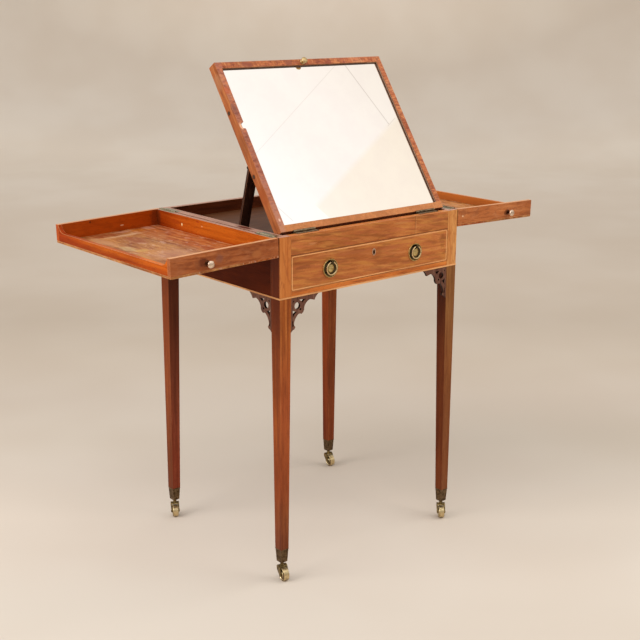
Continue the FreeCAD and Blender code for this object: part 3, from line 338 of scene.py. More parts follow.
def aimed(name, place, target, size, watts, in_glass):
    """a soft box; in_glass says whether glossy surfaces show it"""
    data = bpy.data.lights.new(name, "AREA")
    data.shape = "RECTANGLE"
    data.size = data.size_y = size
    data.energy = watts
    data.color = tone("#FFFDFA")[:3]
    lamp = bpy.data.objects.new(name, data)
    lamp.location = place
    lamp.rotation_mode = "QUATERNION"
    lamp.rotation_quaternion = (target - place).to_track_quat("-Z", "Y")
    lamp.visible_glossy = in_glass
    bpy.context.scene.collection.objects.link(lamp)


CLOTH_AIM = Vector((0.624, -0.512, 0.590)).normalized()     # from the mirror's middle to what it reflects
aimed("right_soft_box", MIRROR_MIDDLE + CLOTH_AIM * 2.7, MIRROR_MIDDLE, 2.2, 34.0, False)
aimed("left_soft_box", Vector((-3.4, 0.7, 2.0)), Vector((0, 0, 0.7)), 2.4, 70.0, True)
aimed("top_soft_box", Vector((-1.4, -1.0, 4.6)), Vector((-0.3, -0.4, 0.0)), 4.5, 60.0, True)


def glowing_sheet():
    """A glowing sheet that stands in for the matt white cloth the mirror sees, hidden from all but reflections:
    a painted reflection, a little creamier low down and towards one side, with folded edges."""
    side = CLOTH_AIM.cross(Vector((0, 0, 1))).normalized()
    rise = side.cross(CLOTH_AIM)
    turn = Matrix((side, rise, -CLOTH_AIM)).transposed().to_4x4()
    shape = bmesh.new()
    bmesh.ops.create_grid(shape, x_segments=8, y_segments=8, size=1.5)
    sheet = new_mesh("glowing_sheet", shape)
    sheet.matrix_world = Matrix.Translation(MIRROR_MIDDLE + CLOTH_AIM * 2.75) @ turn
    made, tree = start("glowing sheet, painted mirror reflection")
    x, y, _ = put(tree, "SeparateXYZ", put(tree, "TexCoord", out="Object"), out=None)
    shade = put(tree, "MapRange", x, -750 * MM, 100 * MM, 0.0, 1.0)
    body = put(tree, "ValToRGB", shade, stops=[(0.0, "#F3E9DF"), (0.5, "#FBF3ED"), (1.0, "#FFFDFB")])
    below = put(tree, "MapRange", y, 110 * MM, 80 * MM, 0.0, 1.0)
    body = put(tree, "Mix", overlap(tree, below, between(tree, x, high=-50.0)), body, "#FCF8EF", **TINT)
    # folded edges, 4 mm wide: where each lies across its line, and where it starts and ends along it
    leaning = put(tree, "Math", y, 0.199, x, operation="MULTIPLY_ADD")
    for across, place, along, first, last, share in ((y, 470.0, x, -610.0, -40.0, 0.14),
                                                     (leaning, -540.6, y, 100.0, 440.0, 0.34),
                                                     (x, 75.0, y, 130.0, 230.0, 0.18),
                                                     (y, 98.0, x, -600.0, -550.0, 0.2)):
        edge = overlap(tree, between(tree, along, first, last),
                       between(tree, across, place - 2.0, place + 2.0), share)
        body = put(tree, "Mix", edge, body, "#8E8074", **OVER)
    surface(tree, {"Emission Color": body, "Emission Strength": 1.08, "Base Color": "#202020"})
    sheet.data.materials.append(made)
    sheet.visible_camera = False
    sheet.visible_diffuse = False
    sheet.visible_shadow = False


glowing_sheet()

world = bpy.data.worlds.new("studio air")
world.use_nodes = True
bpy.context.scene.world = world
sky = world.node_tree.nodes["Background"]
sky.inputs[0].default_value = tone("#FFFCF8")
sky.inputs[1].default_value = 0.74
bpy.context.scene.view_settings.view_transform = "Standard"


# Finishes. Each mark of wear, staining or painted shade is (centre, reach, colour, share), the first two in mm.
def veneered_stile(tree, here, body):
    """Above the box's foot the front face of a front leg carries straight-grained lighter veneer."""
    x, y, z = put(tree, "SeparateXYZ", here, out=None)
    streaks = drawn_out(tree, here, "Z", 220.0, 6.0, 4.0, 3.0, 0.6, 0.1)
    veneer = put(tree, "ValToRGB", streaks, stops=[(0.3, "#C67C42"), (0.5, "#D89858"), (0.7, "#E2A666")])
    veneer = put(tree, "Mix", between(tree, x, high=0.0), veneer, "#EFCFB8", **TINT)
    veneer = mottled(tree, here, veneer, 2.0, [("#A85C30", 0.6)], 24.0, 9.0, "Z")
    on_box = overlap(tree, between(tree, z, low=BOX_FOOT + STRINGING), between(tree, y, high=FRONT + 1.0))
    return put(tree, "Mix", on_box, body, veneer, **OVER)


def rim_sheen_and_wear(tree, here, body):
    """The flat tops of the rims are a dusty pinkish brown: partly rubbed polish, partly a painted sheen of the
    light.
    """
    height = put(tree, "SeparateXYZ", here, out="Z")
    streaks = drawn_out(tree, here, "Y", 60.0, 3.0, 2.0, 3.0, 0.6)
    wear_and_painted_light = put(tree, "ValToRGB", streaks, stops=[(0.3, "#A0705C"), (0.5, "#B48672"), (0.7, "#C49C88")])
    top = overlap(tree, facing(tree, (0, 0, 1), 0.9), between(tree, height, low=RIM_TOPS))
    body = put(tree, "Mix", top, body, wear_and_painted_light, **OVER)
    return patched(tree, here, body, [((-258, -84, 794), (9, 30, 3), "#6A3428", 0.95)], 0.6)


def leg_stain(side_tones, front_tones):
    """Painted light and shade, with uneven polish, on each leg: its side and front each have their own tone,
    which changes from the box to the foot, lighter where the lamps fall and darker where the box and the trays
    shade it. The tones are (height in mm, colour of the lightest streaks)."""
    def stain(tree, here, body):
        height = put(tree, "SeparateXYZ", here, out="Z")
        share = put(tree, "Math", height, 1.0 / (LEG_SPAN * MM), operation="MULTIPLY")
        side, front = (put(tree, "ValToRGB", share, stops=[(mm / LEG_SPAN, code) for mm, code in tones],
                           easing="LINEAR") for tones in (side_tones, front_tones))
        sideways = put(tree, "Math", facing(tree, (-1, 0, 0)), facing(tree, (1, 0, 0)), operation="MAXIMUM")
        body = put(tree, "Mix", 1.0, body, put(tree, "Mix", sideways, front, side, **OVER), **TINT)
        body = mottled(tree, here, body, 2.0, [("#6A3018", 0.35)], 70.0, 8.0, "Z")
        return rim_sheen_and_wear(tree, here, veneered_stile(tree, here, body))
    return stain


# the grain of the legs, from its dark bands to its light ones; the tints are multiplied into it. They are
# painted light and shade on each face of each leg, darkest where the box and the trays shade it
STREAKS = ("#A38487", "#D6C0B4", "#FFFFFF")
LEG_PAINTED_LIGHT = {
    "front_left": (((60, "#7E4632"), (150, "#9C5A32"), (230, "#AF5C2A"), (420, "#AC5F27"), (590, "#8B461A"),
                    (660, "#7C3812")),
                   ((60, "#965A3A"), (150, "#AE6A40"), (230, "#C46F3E"), (420, "#CB7341"), (590, "#CF7F3F"),
                    (660, "#CF7F3F"))),
    "front_right": (((60, "#7C4422"), (173, "#84461D"), (433, "#7C401B"), (563, "#663113"), (660, "#5C2C12")),
                    ((60, "#96603A"), (173, "#9D6339"), (433, "#A36D3D"), (563, "#A77A49"), (660, "#A87C4A"))),
    "back_left": (((60, "#80442A"), (142, "#894A23"), (352, "#9F562A"), (536, "#9E5428"), (660, "#985024")),
                  ((60, "#A25136"), (142, "#AA5538"), (352, "#99553B"), (536, "#804526"), (660, "#6E3B21"))),
    "back_right": (((60, "#803C1A"), (103, "#853C1A"), (414, "#A7521D"), (660, "#9A4B1B")),
                   ((60, "#A05630"), (103, "#A25730"), (414, "#AC6535"), (660, "#A86030")))}
leg_woods = {}
for count, (place, tints) in enumerate(LEG_PAINTED_LIGHT.items()):
    leg_woods[place] = wood("polished mahogany, " + place.replace("_", " ") + " leg", STREAKS, along="Z",
                            figure=(320.0, 9.0), shift=3.0 * count, contrast=0.7, shine=0.08, wax=0.05,
                            stain=leg_stain(*tints))
side_wood = wood("polished mahogany, box side", ("#471805", "#5A2007", "#6D2B0A"), along="Y", shift=2.0,
                 contrast=0.6, shine=0.03, wax=0.02, stain=rim_sheen_and_wear)


def jointed_frieze(tree, here, body):
    """The frieze is veneered in two sheets that meet right of the middle; the left sheet is redder."""
    across, _, height = put(tree, "SeparateXYZ", here, out=None)
    body = put(tree, "Mix", between(tree, across, high=130.0), body, "#FFF9F6", **TINT)
    body = put(tree, "Mix", overlap(tree, between(tree, across, 128.6, 130.2), 0.7), body, "#7A4020", **OVER)
    body = put(tree, "Mix", overlap(tree, between(tree, across, 130.4, 133.6), 0.5), body, "#D09058", **OVER)
    marks = [((-180, -222, 770), (14, 5, 3), "#CC8A58", 0.6), ((40, -222, 762), (22, 5, 2.5), "#8A4A28", 0.6),
             ((205, -222, 776), (40, 5, 3.5), "#985430", 0.7), ((90, -222, 784), (30, 5, 3), "#CE8E54", 0.5),
             ((-120, -222, 786), (60, 5, 3), "#7E4826", 0.5), ((200, -222, 786), (60, 5, 3), "#7E4826", 0.45)]
    body = patched(tree, here, body, marks)
    aslant = put(tree, "Mapping", here, None, (0.0, math.radians(-7), 0.0))
    body = mottled(tree, aslant, body, 1.0, [("#B8623C", 0.5), ("#CC8A44", 0.5), ("#84481F", 0.6)], 60.0, 8.0)
    # the edge over the drawer is darker, in a thin band
    return put(tree, "Mix", overlap(tree, between(tree, height, 750.3, 752.5), 0.75), body, "#6A3210", **OVER)


front_wood = wood("figured mahogany veneer, box front", ("#AC6032", "#C67A40", "#D68E4E"), along="X",
                  figure=(105.0, 8.0), tilt=(0.0, math.radians(-4), 0.0), contrast=0.9, shift=5.0,
                  fibre=(28.0, 1.1), stain=jointed_frieze)


def drawer_marks(tree, here, body):
    """dark smudges of old polish on the drawer front, most of them round the pulls and at the ends"""
    marks = [((-205, -222, 722), (26, 5, 5), "#8E4C2A", 0.7), ((-170, -222, 690), (40, 5, 6), "#A05A30", 0.6),
             ((-60, -222, 735), (50, 5, 4), "#AE663C", 0.5), ((60, -222, 730), (36, 5, 7), "#B86C3E", 0.5),
             ((30, -222, 690), (60, 5, 5), "#D28C4C", 0.5), ((222, -222, 725), (10, 5, 18), "#8E5028", 0.7),
             ((-110, -222, 742), (60, 5, 3), "#D08A50", 0.5), ((150, -222, 684), (50, 5, 4), "#C8803F", 0.5)]
    body = patched(tree, here, body, marks)
    aslant = put(tree, "Mapping", here, None, (0.0, math.radians(-6), 0.0))
    return mottled(tree, aslant, body, 7.0, [("#BA663E", 0.45), ("#D08C42", 0.5), ("#8E5228", 0.5)], 52.0, 8.0)


drawer_wood = wood("figured mahogany veneer, drawer front", ("#A2562A", "#C0713A", "#D2874C"), along="X",
                   figure=(110.0, 9.0), tilt=(0.0, math.radians(-3), 0.0), contrast=0.9, shift=9.0,
                   fibre=(28.0, 1.1), stain=drawer_marks)
rail_wood = wood("polished mahogany, lower rail", ("#A5582A", "#D57935", "#E99243"), along="X", shift=4.0)
back_wood = wood("polished mahogany, back panel", ("#431D0E", "#632E17", "#7C3E20"), along="X", shift=7.0,
                 stain=rim_sheen_and_wear)
well_wood = wood("dusty mahogany, well floor", ("#482816", "#60381E", "#724624"), along="X", shift=1.0,
                 gloss=0.6, wax=0.05, contrast=0.7)


def wall_stain(tree, here, body):
    """The trays' inner walls are strong orange, with painted shade that makes them redder along their feet and
    towards the back.
    """
    x, y, z = put(tree, "SeparateXYZ", here, out=None)
    body = put(tree, "Mix", put(tree, "MapRange", y, 20 * MM, 230 * MM, 0.0, 0.75), body, "#C87C60", **TINT)
    body = put(tree, "Mix", put(tree, "MapRange", z, 757 * MM, 766 * MM, 0.55, 0.0), body, "#B06850", **TINT)
    body = put(tree, "Mix", overlap(tree, between(tree, x, low=0.0), 0.5), body, "#CC8140", **OVER)
    body = put(tree, "Mix", between(tree, x, high=-440.0), body, "#FFF4D0", **TINT)
    # the mark in the back corner, at (-283, 226), is painted shade
    marks = [((-283, 124, 773), (4, 2.5, 3.5), "#F0D8A0", 1.0), ((-283, 43, 780), (4, 3.0, 1.6), "#E0A070", 0.9),
             ((-283, 60, 788), (4, 8, 1.5), "#A03818", 0.8), ((-283, 150, 775), (4, 20, 5), "#9A3C10", 0.6),
             ((-283, 226, 775), (5, 13, 24), "#5E2812", 0.7)]
    return rim_sheen_and_wear(tree, here, patched(tree, here, body, marks, 0.8))


tray_wall_wood = wood("orange mahogany, tray walls inside", ("#99420D", "#C36017", "#D47627"), along="Y",
                      figure=(160.0, 7.0), shift=3.0, contrast=0.9, shine=0.05, wax=0.03, stain=wall_stain)


def end_wall_stain(tree, here, body):
    """Outside, brown veneer with fine upright scratches; inside, the same orange wood as the other walls.
    Painted shadows lie beside the knobs and in the back corner.
    """
    x, y, z = put(tree, "SeparateXYZ", here, out=None)
    body = mottled(tree, here, body, 3.0, [("#C07C50", 0.5), ("#8A4C2C", 0.5)], 24.0, 9.0)
    upright = drawn_out(tree, here, "Z", 26.0, 1.6, 7.0, 2.0, 0.6)
    scratches = put(tree, "ValToRGB", upright, stops=[(0.60, "#000000"), (0.70, "#FFFFFF")])
    aside = put(tree, "Math", x, operation="ABSOLUTE")
    towards_box = put(tree, "MapRange", aside, 400 * MM, 270 * MM, 0.0, 0.5)
    body = put(tree, "Mix", overlap(tree, scratches, towards_box), body, "#D08A58", **OVER)
    body = put(tree, "Mix", between(tree, x, high=0.0), body, "#EBE0DC", **TINT)
    not_behind = put(tree, "Math", 1.0, facing(tree, (0, 1, 0)), operation="SUBTRACT")
    orange = put(tree, "Mix", 0.35, put(tree, "Mix", 1.0, body, "#FFB444", **TINT), "#C65810", **OVER)
    body = put(tree, "Mix", overlap(tree, between(tree, y, low=0.0), not_behind), body, orange, **OVER)
    # painted shadows: the dark marks just left of the knobs (x -464 and 447), and in the back corner (-288, 230)
    marks = [((-378, 230, 767), (5, 4, 1.6), "#E8B890", 0.9), ((-461, 230, 784), (2.5, 4, 2.5), "#4A2010", 0.9),
             ((-464, -222, 770), (13, 3, 9), "#66301C", 0.85), ((-424, -222, 771), (10, 3, 10), "#865240", 0.7),
             ((-330, -222, 768), (14, 3, 9), "#B8703E", 0.6), ((290, -222, 775), (2.2, 3, 2.2), "#F0C8A0", 1.0),
             ((-478, -222, 768), (7, 3, 12), "#8C4E2C", 0.6), ((447, -222, 766), (9, 3, 7), "#5A2A14", 0.8),
             ((-288, 230, 775), (14, 4, 24), "#6A2A14", 0.6)]
    body = patched(tree, here, body, marks, 0.7)
    # the tops are golden
    top = overlap(tree, facing(tree, (0, 0, 1), 0.9), between(tree, z, low=RIM_TOPS), 0.8)
    return put(tree, "Mix", top, body, "#D49A6A", **OVER)


tray_end_wood = wood("mahogany veneer, tray front", ("#985026", "#BC6E3C", "#D28650"), along="X",
                     figure=(90.0, 8.0), tilt=(0.0, math.radians(-3), 0.0), shift=11.0, contrast=0.9,
                     stain=end_wall_stain)


def board_wear(tree, here, body):
    """Bottles and brushes have worn the boards pale in the middle, with damp and dusty places. A strip next
    to the hinge has kept its orange polish."""
    side = put(tree, "Math", put(tree, "SeparateXYZ", here, out="X"), operation="ABSOLUTE")
    polished = put(tree, "Mix", 1.0, body, "#A8705C", **TINT)
    streaks = drawn_out(tree, here, "Y", 90.0, 6.0, 4.0, 3.0, 0.6)
    edge = put(tree, "Math", streaks, 50 * MM, side, operation="MULTIPLY_ADD")
    orange = put(tree, "ValToRGB", streaks, stops=[(0.3, "#8E4418"), (0.5, "#B8622A"), (0.7, "#CC8448")])
    strip = put(tree, "MapRange", edge, 375 * MM, 400 * MM, 1.0, 0.0)
    body = put(tree, "Mix", strip, body, orange, **OVER)
    damp = drawn_out(tree, here, "Y", 46.0, 20.0, 1.3, 4.0, 0.65)
    soaked = put(tree, "ValToRGB", damp, stops=[(0.42, "#FFFFFF"), (0.64, "#C09074")])
    body = put(tree, "Mix", 0.7, body, soaked, **TINT)
    dust = drawn_out(tree, here, "Y", 30.0, 12.0, 8.0, 4.0, 0.65)
    dusty = put(tree, "ValToRGB", dust, stops=[(0.55, "#000000"), (0.66, "#FFFFFF")])
    body = put(tree, "Mix", overlap(tree, dusty, 0.45), body, "#D2A68E", **OVER)
    marks = [((-448, 212, 756), (34, 24, 20), "#98481F", 0.85), ((-476, 150, 756), (16, 60, 20), "#C08A62", 0.7),
             ((-400, 178, 756), (60, 9, 20), "#C89C78", 0.75), ((-410, 122, 756), (24, 42, 20), "#94502F", 0.85),
             ((-388, 214, 756), (26, 9, 20), "#BC846C", 0.8), ((-350, 205, 756), (18, 16, 20), "#B0641E", 0.75),
             ((-318, 214, 756), (12, 14, 20), "#B4806C", 0.8), ((-352, 130, 756), (26, 60, 20), "#AC6230", 0.7),
             ((-470, 52, 754), (14, 30, 20), "#BFA070", 0.7), ((-456, 20, 754), (14, 14, 20), "#C49850", 0.6),
             ((-300, 120, 756), (6, 110, 20), "#B87450", 0.5), ((-425, -60, 754), (50, 50, 20), "#B88468", 0.5),
             ((-436, 203, 756), (36, 17, 20), "#8A4020", 0.85), ((400, -120, 754), (60, 40, 20), "#C08A60", 0.6),
             ((330, -190, 756), (50, 20, 20), "#B08A50", 0.6)]
    body = patched(tree, here, body, marks, 1.1)
    body = mottled(tree, here, body, 9.0, [("#8E5232", 0.25), ("#C89860", 0.25)], 40.0, 7.0, "Y")
    # the joint between two boards, and the rubbed line along the hinge
    body = put(tree, "Mix", overlap(tree, between(tree, side, 363.8, 365.2), 0.5), body, "#D8A884", **OVER)
    body = put(tree, "Mix", overlap(tree, between(tree, side, 283.2, 285.2), 0.7), body, "#CC8458", **OVER)
    # the underside, which is the table's top when the trays are shut, has kept its polish
    return put(tree, "Mix", facing(tree, (0, 0, -1)), body, polished, **OVER)


tray_board_wood = wood("worn mahogany, tray board", ("#9C5C2C", "#B87A42", "#CC9258"), along="Y",
                       figure=(110.0, 12.0), shift=6.0, gloss=0.55, wax=0.08, stain=board_wear)
backboard_wood = wood("plain mahogany, mirror backboard", ("#5A3820", "#74492C", "#8A5A38"), along="Y",
                      figure=(180.0, 12.0), shift=21.0, gloss=0.62, wax=0.0, place=(MIRROR_HINGE, MIRROR_LEAN))
inner_wood = wood("plain secondary wood, unpolished", ("#8A6038", "#A87C50", "#BC9468"), along="Y",
                  figure=(200.0, 14.0), shift=8.0, gloss=0.62, wax=0.0)

BAND = 37.0                     # mm along a member, one piece of its cross-banding


def banded(tree, here, body):
    """The frame's face is laid with short cross-banded pieces, each of its own tone, with dark joints. Its
    outer sides are plain brown wood, and the sight edge round the glass is painted dark as shade."""
    x, rise, depth = put(tree, "SeparateXYZ", here, out=None)
    # the way along a stile or a rail, counted in pieces
    along = put(tree, "Math", x, rise, operation="ADD")
    run = put(tree, "Math", along, 1.0 / (BAND * MM), operation="MULTIPLY")
    own = put(tree, "TexWhiteNoise", put(tree, "Math", run, operation="FLOOR"), noise_dimensions="1D")
    tint = put(tree, "ValToRGB", own, stops=[(0.0, "#C8A8A0"), (0.35, "#F4E0D8"), (0.7, "#FFF0DC"),
                                             (1.0, "#FFFFFF")])
    front = facing(tree, -INTO_FRAME)
    body = put(tree, "Mix", front, body, tint, **TINT)
    body = put(tree, "Mix", overlap(tree, between(tree, x, high=-228.5), front, 0.5), body, "#B47A68", **OVER)
    body = mottled(tree, here, body, 6.0, [("#70382C", 0.6), ("#C8744C", 0.6), ("#8A4A40", 0.45)], 14.0, 6.0)
    # a joint is 0.022 of a piece, 0.8 mm
    seam = put(tree, "Math", put(tree, "Math", run, operation="FRACT"), 0.022, operation="LESS_THAN")
    body = put(tree, "Mix", overlap(tree, seam, front, 0.6), body, "#7A4020", **OVER)
    body = put(tree, "Mix", overlap(tree, between(tree, rise, high=17.6), front, 0.55), body, "#CA8850", **OVER)
    plain = drawn_out(tree, here, "Y", 60.0, 5.0, 3.0, 4.0, 0.6)
    outer = put(tree, "ValToRGB", plain, stops=[(0.3, "#84482A"), (0.5, "#A66038"), (0.7, "#BC7A4A")])
    left, right_half = facing(tree, (-1, 0, 0)), between(tree, x, low=0.0)
    right = overlap(tree, facing(tree, (1, 0, 0)), right_half)
    body = put(tree, "Mix", put(tree, "Math", left, right, operation="MAXIMUM"), body, outer, **OVER)
    # the sight edge is painted dark as shade, with a pale line along its middle on the right
    top = overlap(tree, facing(tree, -UP_SLOPE), between(tree, rise, low=300.0))
    sight_shade = put(tree, "Math", overlap(tree, left, right_half), top, operation="MAXIMUM")
    body = put(tree, "Mix", sight_shade, body, "#4A3428", **OVER)
    pale_line = overlap(tree, sight_shade, between(tree, depth, -2.3, -0.9), between(tree, x, low=200.0))
    body = put(tree, "Mix", pale_line, body, "#C0A08C", **OVER)
    marks = [((-240, 257, 0), (5, 8, 3), "#F0B890", 0.95), ((-242, 300, 0), (8, 14, 6), "#7C5048", 0.6),
             ((-242, 345, 0), (8, 10, 6), "#B85A38", 0.6), ((-246, 372, -12), (4, 20, 14), "#A87858", 0.5),
             ((-246, 214, -12), (4, 30, 14), "#8C5232", 0.55), ((-246, 92, -12), (4, 26, 14), "#A0522A", 0.6),
             ((-246, 143, -17.5), (4, 5.2, 5.2), "#3A2014", 0.85),
             ((-246, 298, -17.5), (4, 5.2, 5.2), "#3A2014", 0.85),
             ((-240, 120, 0), (8, 20, 4), "#A87060", 0.6), ((-240, 30, 0), (8, 60, 4), "#B4806C", 0.5),
             ((-238, 30, 0), (2.5, 4, 3), "#F0C8B0", 0.8), ((-160, 407, 0), (14, 9, 6), "#8E4E3C", 0.7),
             ((-40, 407, 0), (12, 9, 6), "#8C5240", 0.7), ((80, 407, 0), (7, 9, 6), "#8A4636", 0.7)]
    return patched(tree, here, body, marks, 0.8)


mirror_wood = wood("polished mahogany, mirror frame", ("#96563A", "#C07C54", "#D89A6C"), along="X",
                   figure=(16.0, 4.0), fibre=(12.0, 1.3), contrast=1.2, shift=13.0,
                   place=(MIRROR_HINGE, MIRROR_LEAN), members=True, shine=0.06, wax=0.04, stain=banded)
# the prop is toned near black
prop_wood = wood("near-black wood, prop", ("#30201C", "#442C24", "#5A4034"), along="Z", figure=(150.0, 6.0), gloss=0.5)

BRACKET_CORNER = -192.0         # mm, in Y; the front's brackets are in front of this


def carved(tree, here, body):
    """The sawn sides of the fretwork are much darker than its face, which looks forward on the front
    brackets and to the left on those further back."""
    further_back = between(tree, put(tree, "SeparateXYZ", here, out="Y"), low=BRACKET_CORNER)
    face = put(tree, "Mix", further_back, facing(tree, (0, -1, 0), 0.8), facing(tree, (-1, 0, 0), 0.8))
    return put(tree, "Mix", face, "#24100A", body, **OVER)


bracket_wood = wood("carved mahogany, bracket", ("#4A2C22", "#6E483A", "#86604E"), along="Z",
                    figure=(40.0, 6.0), shift=15.0, gloss=0.5, stain=carved)
boxwood = wood("boxwood stringing", ("#D89858", "#F0B074", "#F8C48A"), along="X", figure=(60.0, 4.0),
               shift=17.0, contrast=0.6)

PULL_X, PULL_Z, PULL_RADIUS = 0.1298, 0.7094, 0.0212        # of a pull's plate, in metres


def rings_wear_and_shade(tree, here, body):
    """Round the pulls, wear keeps the bead and the boss bright, and the hollow between them is painted dark as
    shade.
    """
    x, _, z = put(tree, "SeparateXYZ", here, out=None)
    x = put(tree, "Math", put(tree, "Math", x, operation="ABSOLUTE"), PULL_X, operation="SUBTRACT")
    z = put(tree, "Math", z, PULL_Z, operation="SUBTRACT")
    far = put(tree, "VectorMath", put(tree, "CombineXYZ", x, z), operation="LENGTH")
    reach = put(tree, "Math", far, 1.0 / PULL_RADIUS, operation="MULTIPLY")
    wear_and_painted_light = put(tree, "ValToRGB", reach, stops=[(0.30, "#FFF4DC"), (0.46, "#B49E70"), (0.52, "#2A1E12"),
                                               (0.82, "#30241A"), (0.88, "#C8B48C"), (0.95, "#FFF0D0")])
    return put(tree, "Mix", 0.9, body, wear_and_painted_light, **TINT)


def worn_knob(tree, here, body):
    """the head is rubbed bright, the neck and the rose are dark"""
    depth = put(tree, "SeparateXYZ", here, out="Y")
    head = put(tree, "MapRange", depth, (FRONT - 8.5) * MM, (FRONT - 10.5) * MM, 0.0, 1.0)
    return put(tree, "Mix", head, put(tree, "Mix", 1.0, body, "#604030", **TINT), body, **OVER)


def keyhole_darkening(tree, here, body):
    """the plate is bright only round its edge and dark round the keyhole"""
    return patched(tree, here, body, [((0, -223, 727.4), (3.9, 30, 6.6), "#1C110A", 1.0)], 0.1)


def rubbed_tread(axle):
    """the floor keeps a wheel's tread bright; its flanks are dark"""
    def stain(tree, here, body):
        flank = put(tree, "Math", facing(tree, axle, 0.8), facing(tree, [-a for a in axle], 0.8),
                    operation="MAXIMUM")
        return put(tree, "Mix", flank, body, "#8A7860", **TINT)
    return stain


knob_metal = metal("silvery worn brass, tray knobs", "#F0D8C0", "#B49880", 0.36, gloss=0.26, stain=worn_knob)
small_brass = metal("worn brass, mirror knob", "#D8BC88", "#9A8056", 0.40)
pull_brass = metal("worn brass, pull plates", "#D8C898", "#A08C5C", 0.40, gloss=0.30, relief=0.05,
                   stain=rings_wear_and_shade)
ring_brass = metal("worn brass, pull rings", "#E6CC9C", "#A88C60", 0.36, gloss=0.26, relief=0.05)
escutcheon_brass = metal("pinkish brass, keyhole", "#F4D4BA", "#D8AC8C", 0.40, gloss=0.4, stain=keyhole_darkening)
hinge_brass = metal("greenish brass, hinges", "#B4A88C", "#7C7660", 0.45, gloss=0.45)
dull_brass = metal("brown dull brass, mirror hinges", "#A08C70", "#5E4E3C", 0.45, gloss=0.5)
socket_brass = metal("brown brass, sockets", "#7B6449", "#4B3822", 0.5, gloss=0.45)
fork_brass = metal("dark brass, forks", "#A08858", "#5A482C", 0.5, gloss=0.4)
iron = metal("old iron", "#3E3834", "#241C18", 0.5, gloss=0.5)
screw_iron = metal("rubbed iron, screw heads", "#7A6A5E", "#42342C", 0.45, grain_mm=3.0, gloss=0.4)


def mirror_plate():
    """Old silvered plate glass: almost clear, with a slightly warm silver and a few faint clouds."""
    made, tree = start("silvered plate glass")
    clouds = drawn_out(tree, put(tree, "TexCoord", out="Object"), "X", 45.0, 45.0, 3.0, 3.0, 0.5)
    surface(tree, {"Base Color": put(tree, "ValToRGB", clouds, stops=[(0.3, "#F8F6F4"), (0.7, "#FAF9F6")]),
                   "Roughness": put(tree, "Math", clouds, 0.008, 0.002, operation="MULTIPLY_ADD"),
                   "Metallic": 1.0})
    return made


glass = mirror_plate()

# the rubbed edges of boards, where the polish has gone and the wood is paler
RUBBED = wood("rubbed edge, brown", ("#A06438", "#BE8050", "#D09A68"), along="X", figure=(30.0, 5.0),
              gloss=0.5, wax=0.1)
RUBBED_DARK = wood("rubbed edge, dark", ("#7A4628", "#96603C", "#A87650"), along="Z", figure=(30.0, 5.0),
                   gloss=0.5, wax=0.1)


def finish(names, material, edge=None, soften=0.0):
    """gives CAD nodes their finish, and eases their sharp edges with a small bevel, soften mm wide"""
    for name in names:
        piece = nodes[name]
        piece.data.materials.clear()
        piece.data.materials.append(material)
        if not soften:
            continue
        piece.modifiers.new("weld", "WELD").merge_threshold = 0.00002
        flat = piece.modifiers.new("planes", "DECIMATE")
        flat.decimate_type = "DISSOLVE"
        flat.angle_limit = math.radians(0.5)
        ease = piece.modifiers.new("eased edges", "BEVEL")
        ease.width = soften * MM
        ease.segments = 2
        ease.limit_method = "ANGLE"
        ease.angle_limit = math.radians(40)
        ease.harden_normals = False
        if edge:
            piece.data.materials.append(edge)
            ease.material = 1


for place, material in leg_woods.items():
    finish(["leg_" + place], material, RUBBED_DARK, 0.8)
finish(["side_left", "side_right"], side_wood, RUBBED_DARK, 0.7)
finish(["frieze_rail"], front_wood, RUBBED, 0.5)
finish(["lower_rail"], rail_wood, RUBBED, 0.4)
finish(["back_panel"], back_wood, RUBBED_DARK, 0.7)
finish(["well_floor"], well_wood, None, 0.3)
finish(["drawer_front"], drawer_wood, None, 0.3)
finish(["drawer_sides", "drawer_back", "drawer_bottom", "drawer_runners", "mirror_bearers"], inner_wood,
       None, 0.4)
finish(["mirror_backboard"], backboard_wood, None, 0.4)
for side in ("left", "right"):
    finish([side + "_tray_end_walls"], tray_end_wood, RUBBED, 0.8)
    finish([side + "_tray_hinge_wall", side + "_tray_outer_wall"], tray_wall_wood, RUBBED, 0.8)
    finish([side + "_tray_board"], tray_board_wood, RUBBED, 0.6)
    finish([side + "_tray_knob"], knob_metal)
    finish([side + "_tray_hinges"], hinge_brass)
    finish(["bracket_front_" + side, "bracket_side_" + side], bracket_wood, RUBBED_DARK, 0.5)
finish(["mirror_frame"], mirror_wood, RUBBED, 0.6)
finish(["mirror_glass"], glass)
finish(["prop_legs", "prop_cross_bar"], prop_wood, RUBBED_DARK, 0.3)
finish(["prop_racks"], inner_wood, None, 0.3)
finish(["edge_stringing", "drawer_stringing"], boxwood)
finish(["pull_plates"], pull_brass)
finish(["ring_pull_left", "ring_pull_right"], ring_brass)
finish(["mirror_knob"], small_brass)
finish(["keyhole_escutcheon"], escutcheon_brass)
finish(["drawer_lock", "lock_bolt", "prop_pivots"], iron)
finish(["tray_hinge_leaves"], hinge_brass)
finish(["mirror_hinge_fixed", "mirror_hinge_moving"], dull_brass)
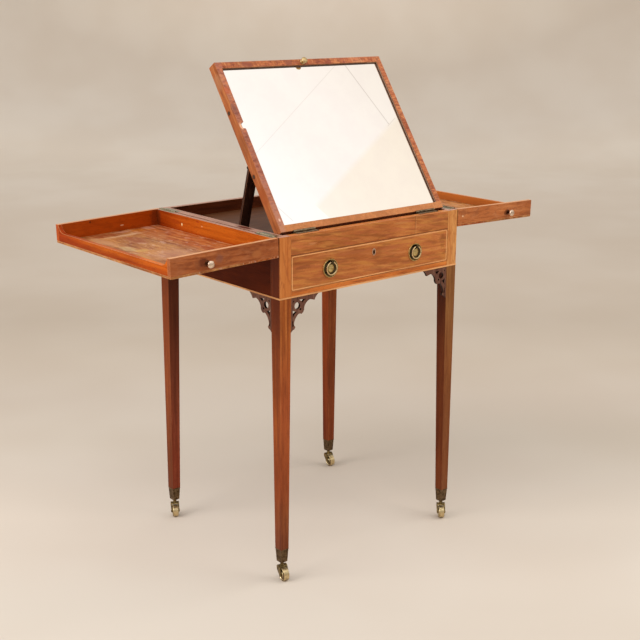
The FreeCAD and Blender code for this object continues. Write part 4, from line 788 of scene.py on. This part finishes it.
finish(["castor_sockets"], socket_brass)
# each castor stands turned its own way; this is the direction of its axle
AXLES = {"front_left": (0.978, -0.208, 0.0), "front_right": (0.788, -0.616, 0.0),
         "back_left": (0.891, -0.454, 0.0), "back_right": (0.985, -0.174, 0.0)}
for corner, axle in AXLES.items():
    finish(["castor_fork_" + corner], fork_brass)
    finish(["castor_wheel_" + corner], metal("worn brass, wheel " + corner.replace("_", " "), "#DCC698",
                                             "#A49066", 0.40, stain=rubbed_tread(axle)))


# A screw head's heights over the surface and the share of its width that the slot and the half discs take
SCREW_SUNK, SCREW_FOOT, SCREW_TOP = -0.2 * MM, 0.15 * MM, 0.4 * MM
SCREW_SLOT, SCREW_HALVES = 0.18, 0.96


def screw(name, place, right, up, radius, body):
    """A slotted screw head: two half discs on a thin foot, with the slot between them. right and up lie in
    the plane of the surface."""
    out = right.cross(up)
    shape = bmesh.new()

    def plate(outline, low, high):
        ends = [[shape.verts.new(place + right * x + up * y + out * lift) for x, y in outline]
                for lift in (low, high)]
        shape.faces.new(ends[0])
        shape.faces.new(ends[1])
        for i in range(len(outline)):
            j = (i + 1) % len(outline)
            shape.faces.new((ends[0][i], ends[0][j], ends[1][j], ends[1][i]))

    turns = [math.pi * i / 10 for i in range(20)]
    plate([(radius * math.cos(a), radius * math.sin(a)) for a in turns], SCREW_SUNK, SCREW_FOOT)
    edge = math.asin(SCREW_SLOT)
    arc = [edge + (math.pi - 2 * edge) * i / 9 for i in range(10)]
    half = SCREW_HALVES * radius
    for side in (half, -half):
        plate([(half * math.cos(a), side * math.sin(a)) for a in arc], SCREW_FOOT, SCREW_TOP)
    piece = new_mesh(name, shape)
    piece.data.materials.append(screw_iron)
    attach(piece, body)


for count, along in enumerate((0.143, 0.298)):
    screw("mirror_side_screw_%d" % (count + 1),
          MIRROR_HINGE + UP_SLOPE * along + INTO_FRAME * 0.0175 + Vector((-MIRROR_HALF, 0.0, 0.0)),
          -INTO_FRAME, UP_SLOPE, 3.3 * MM, "mirror")
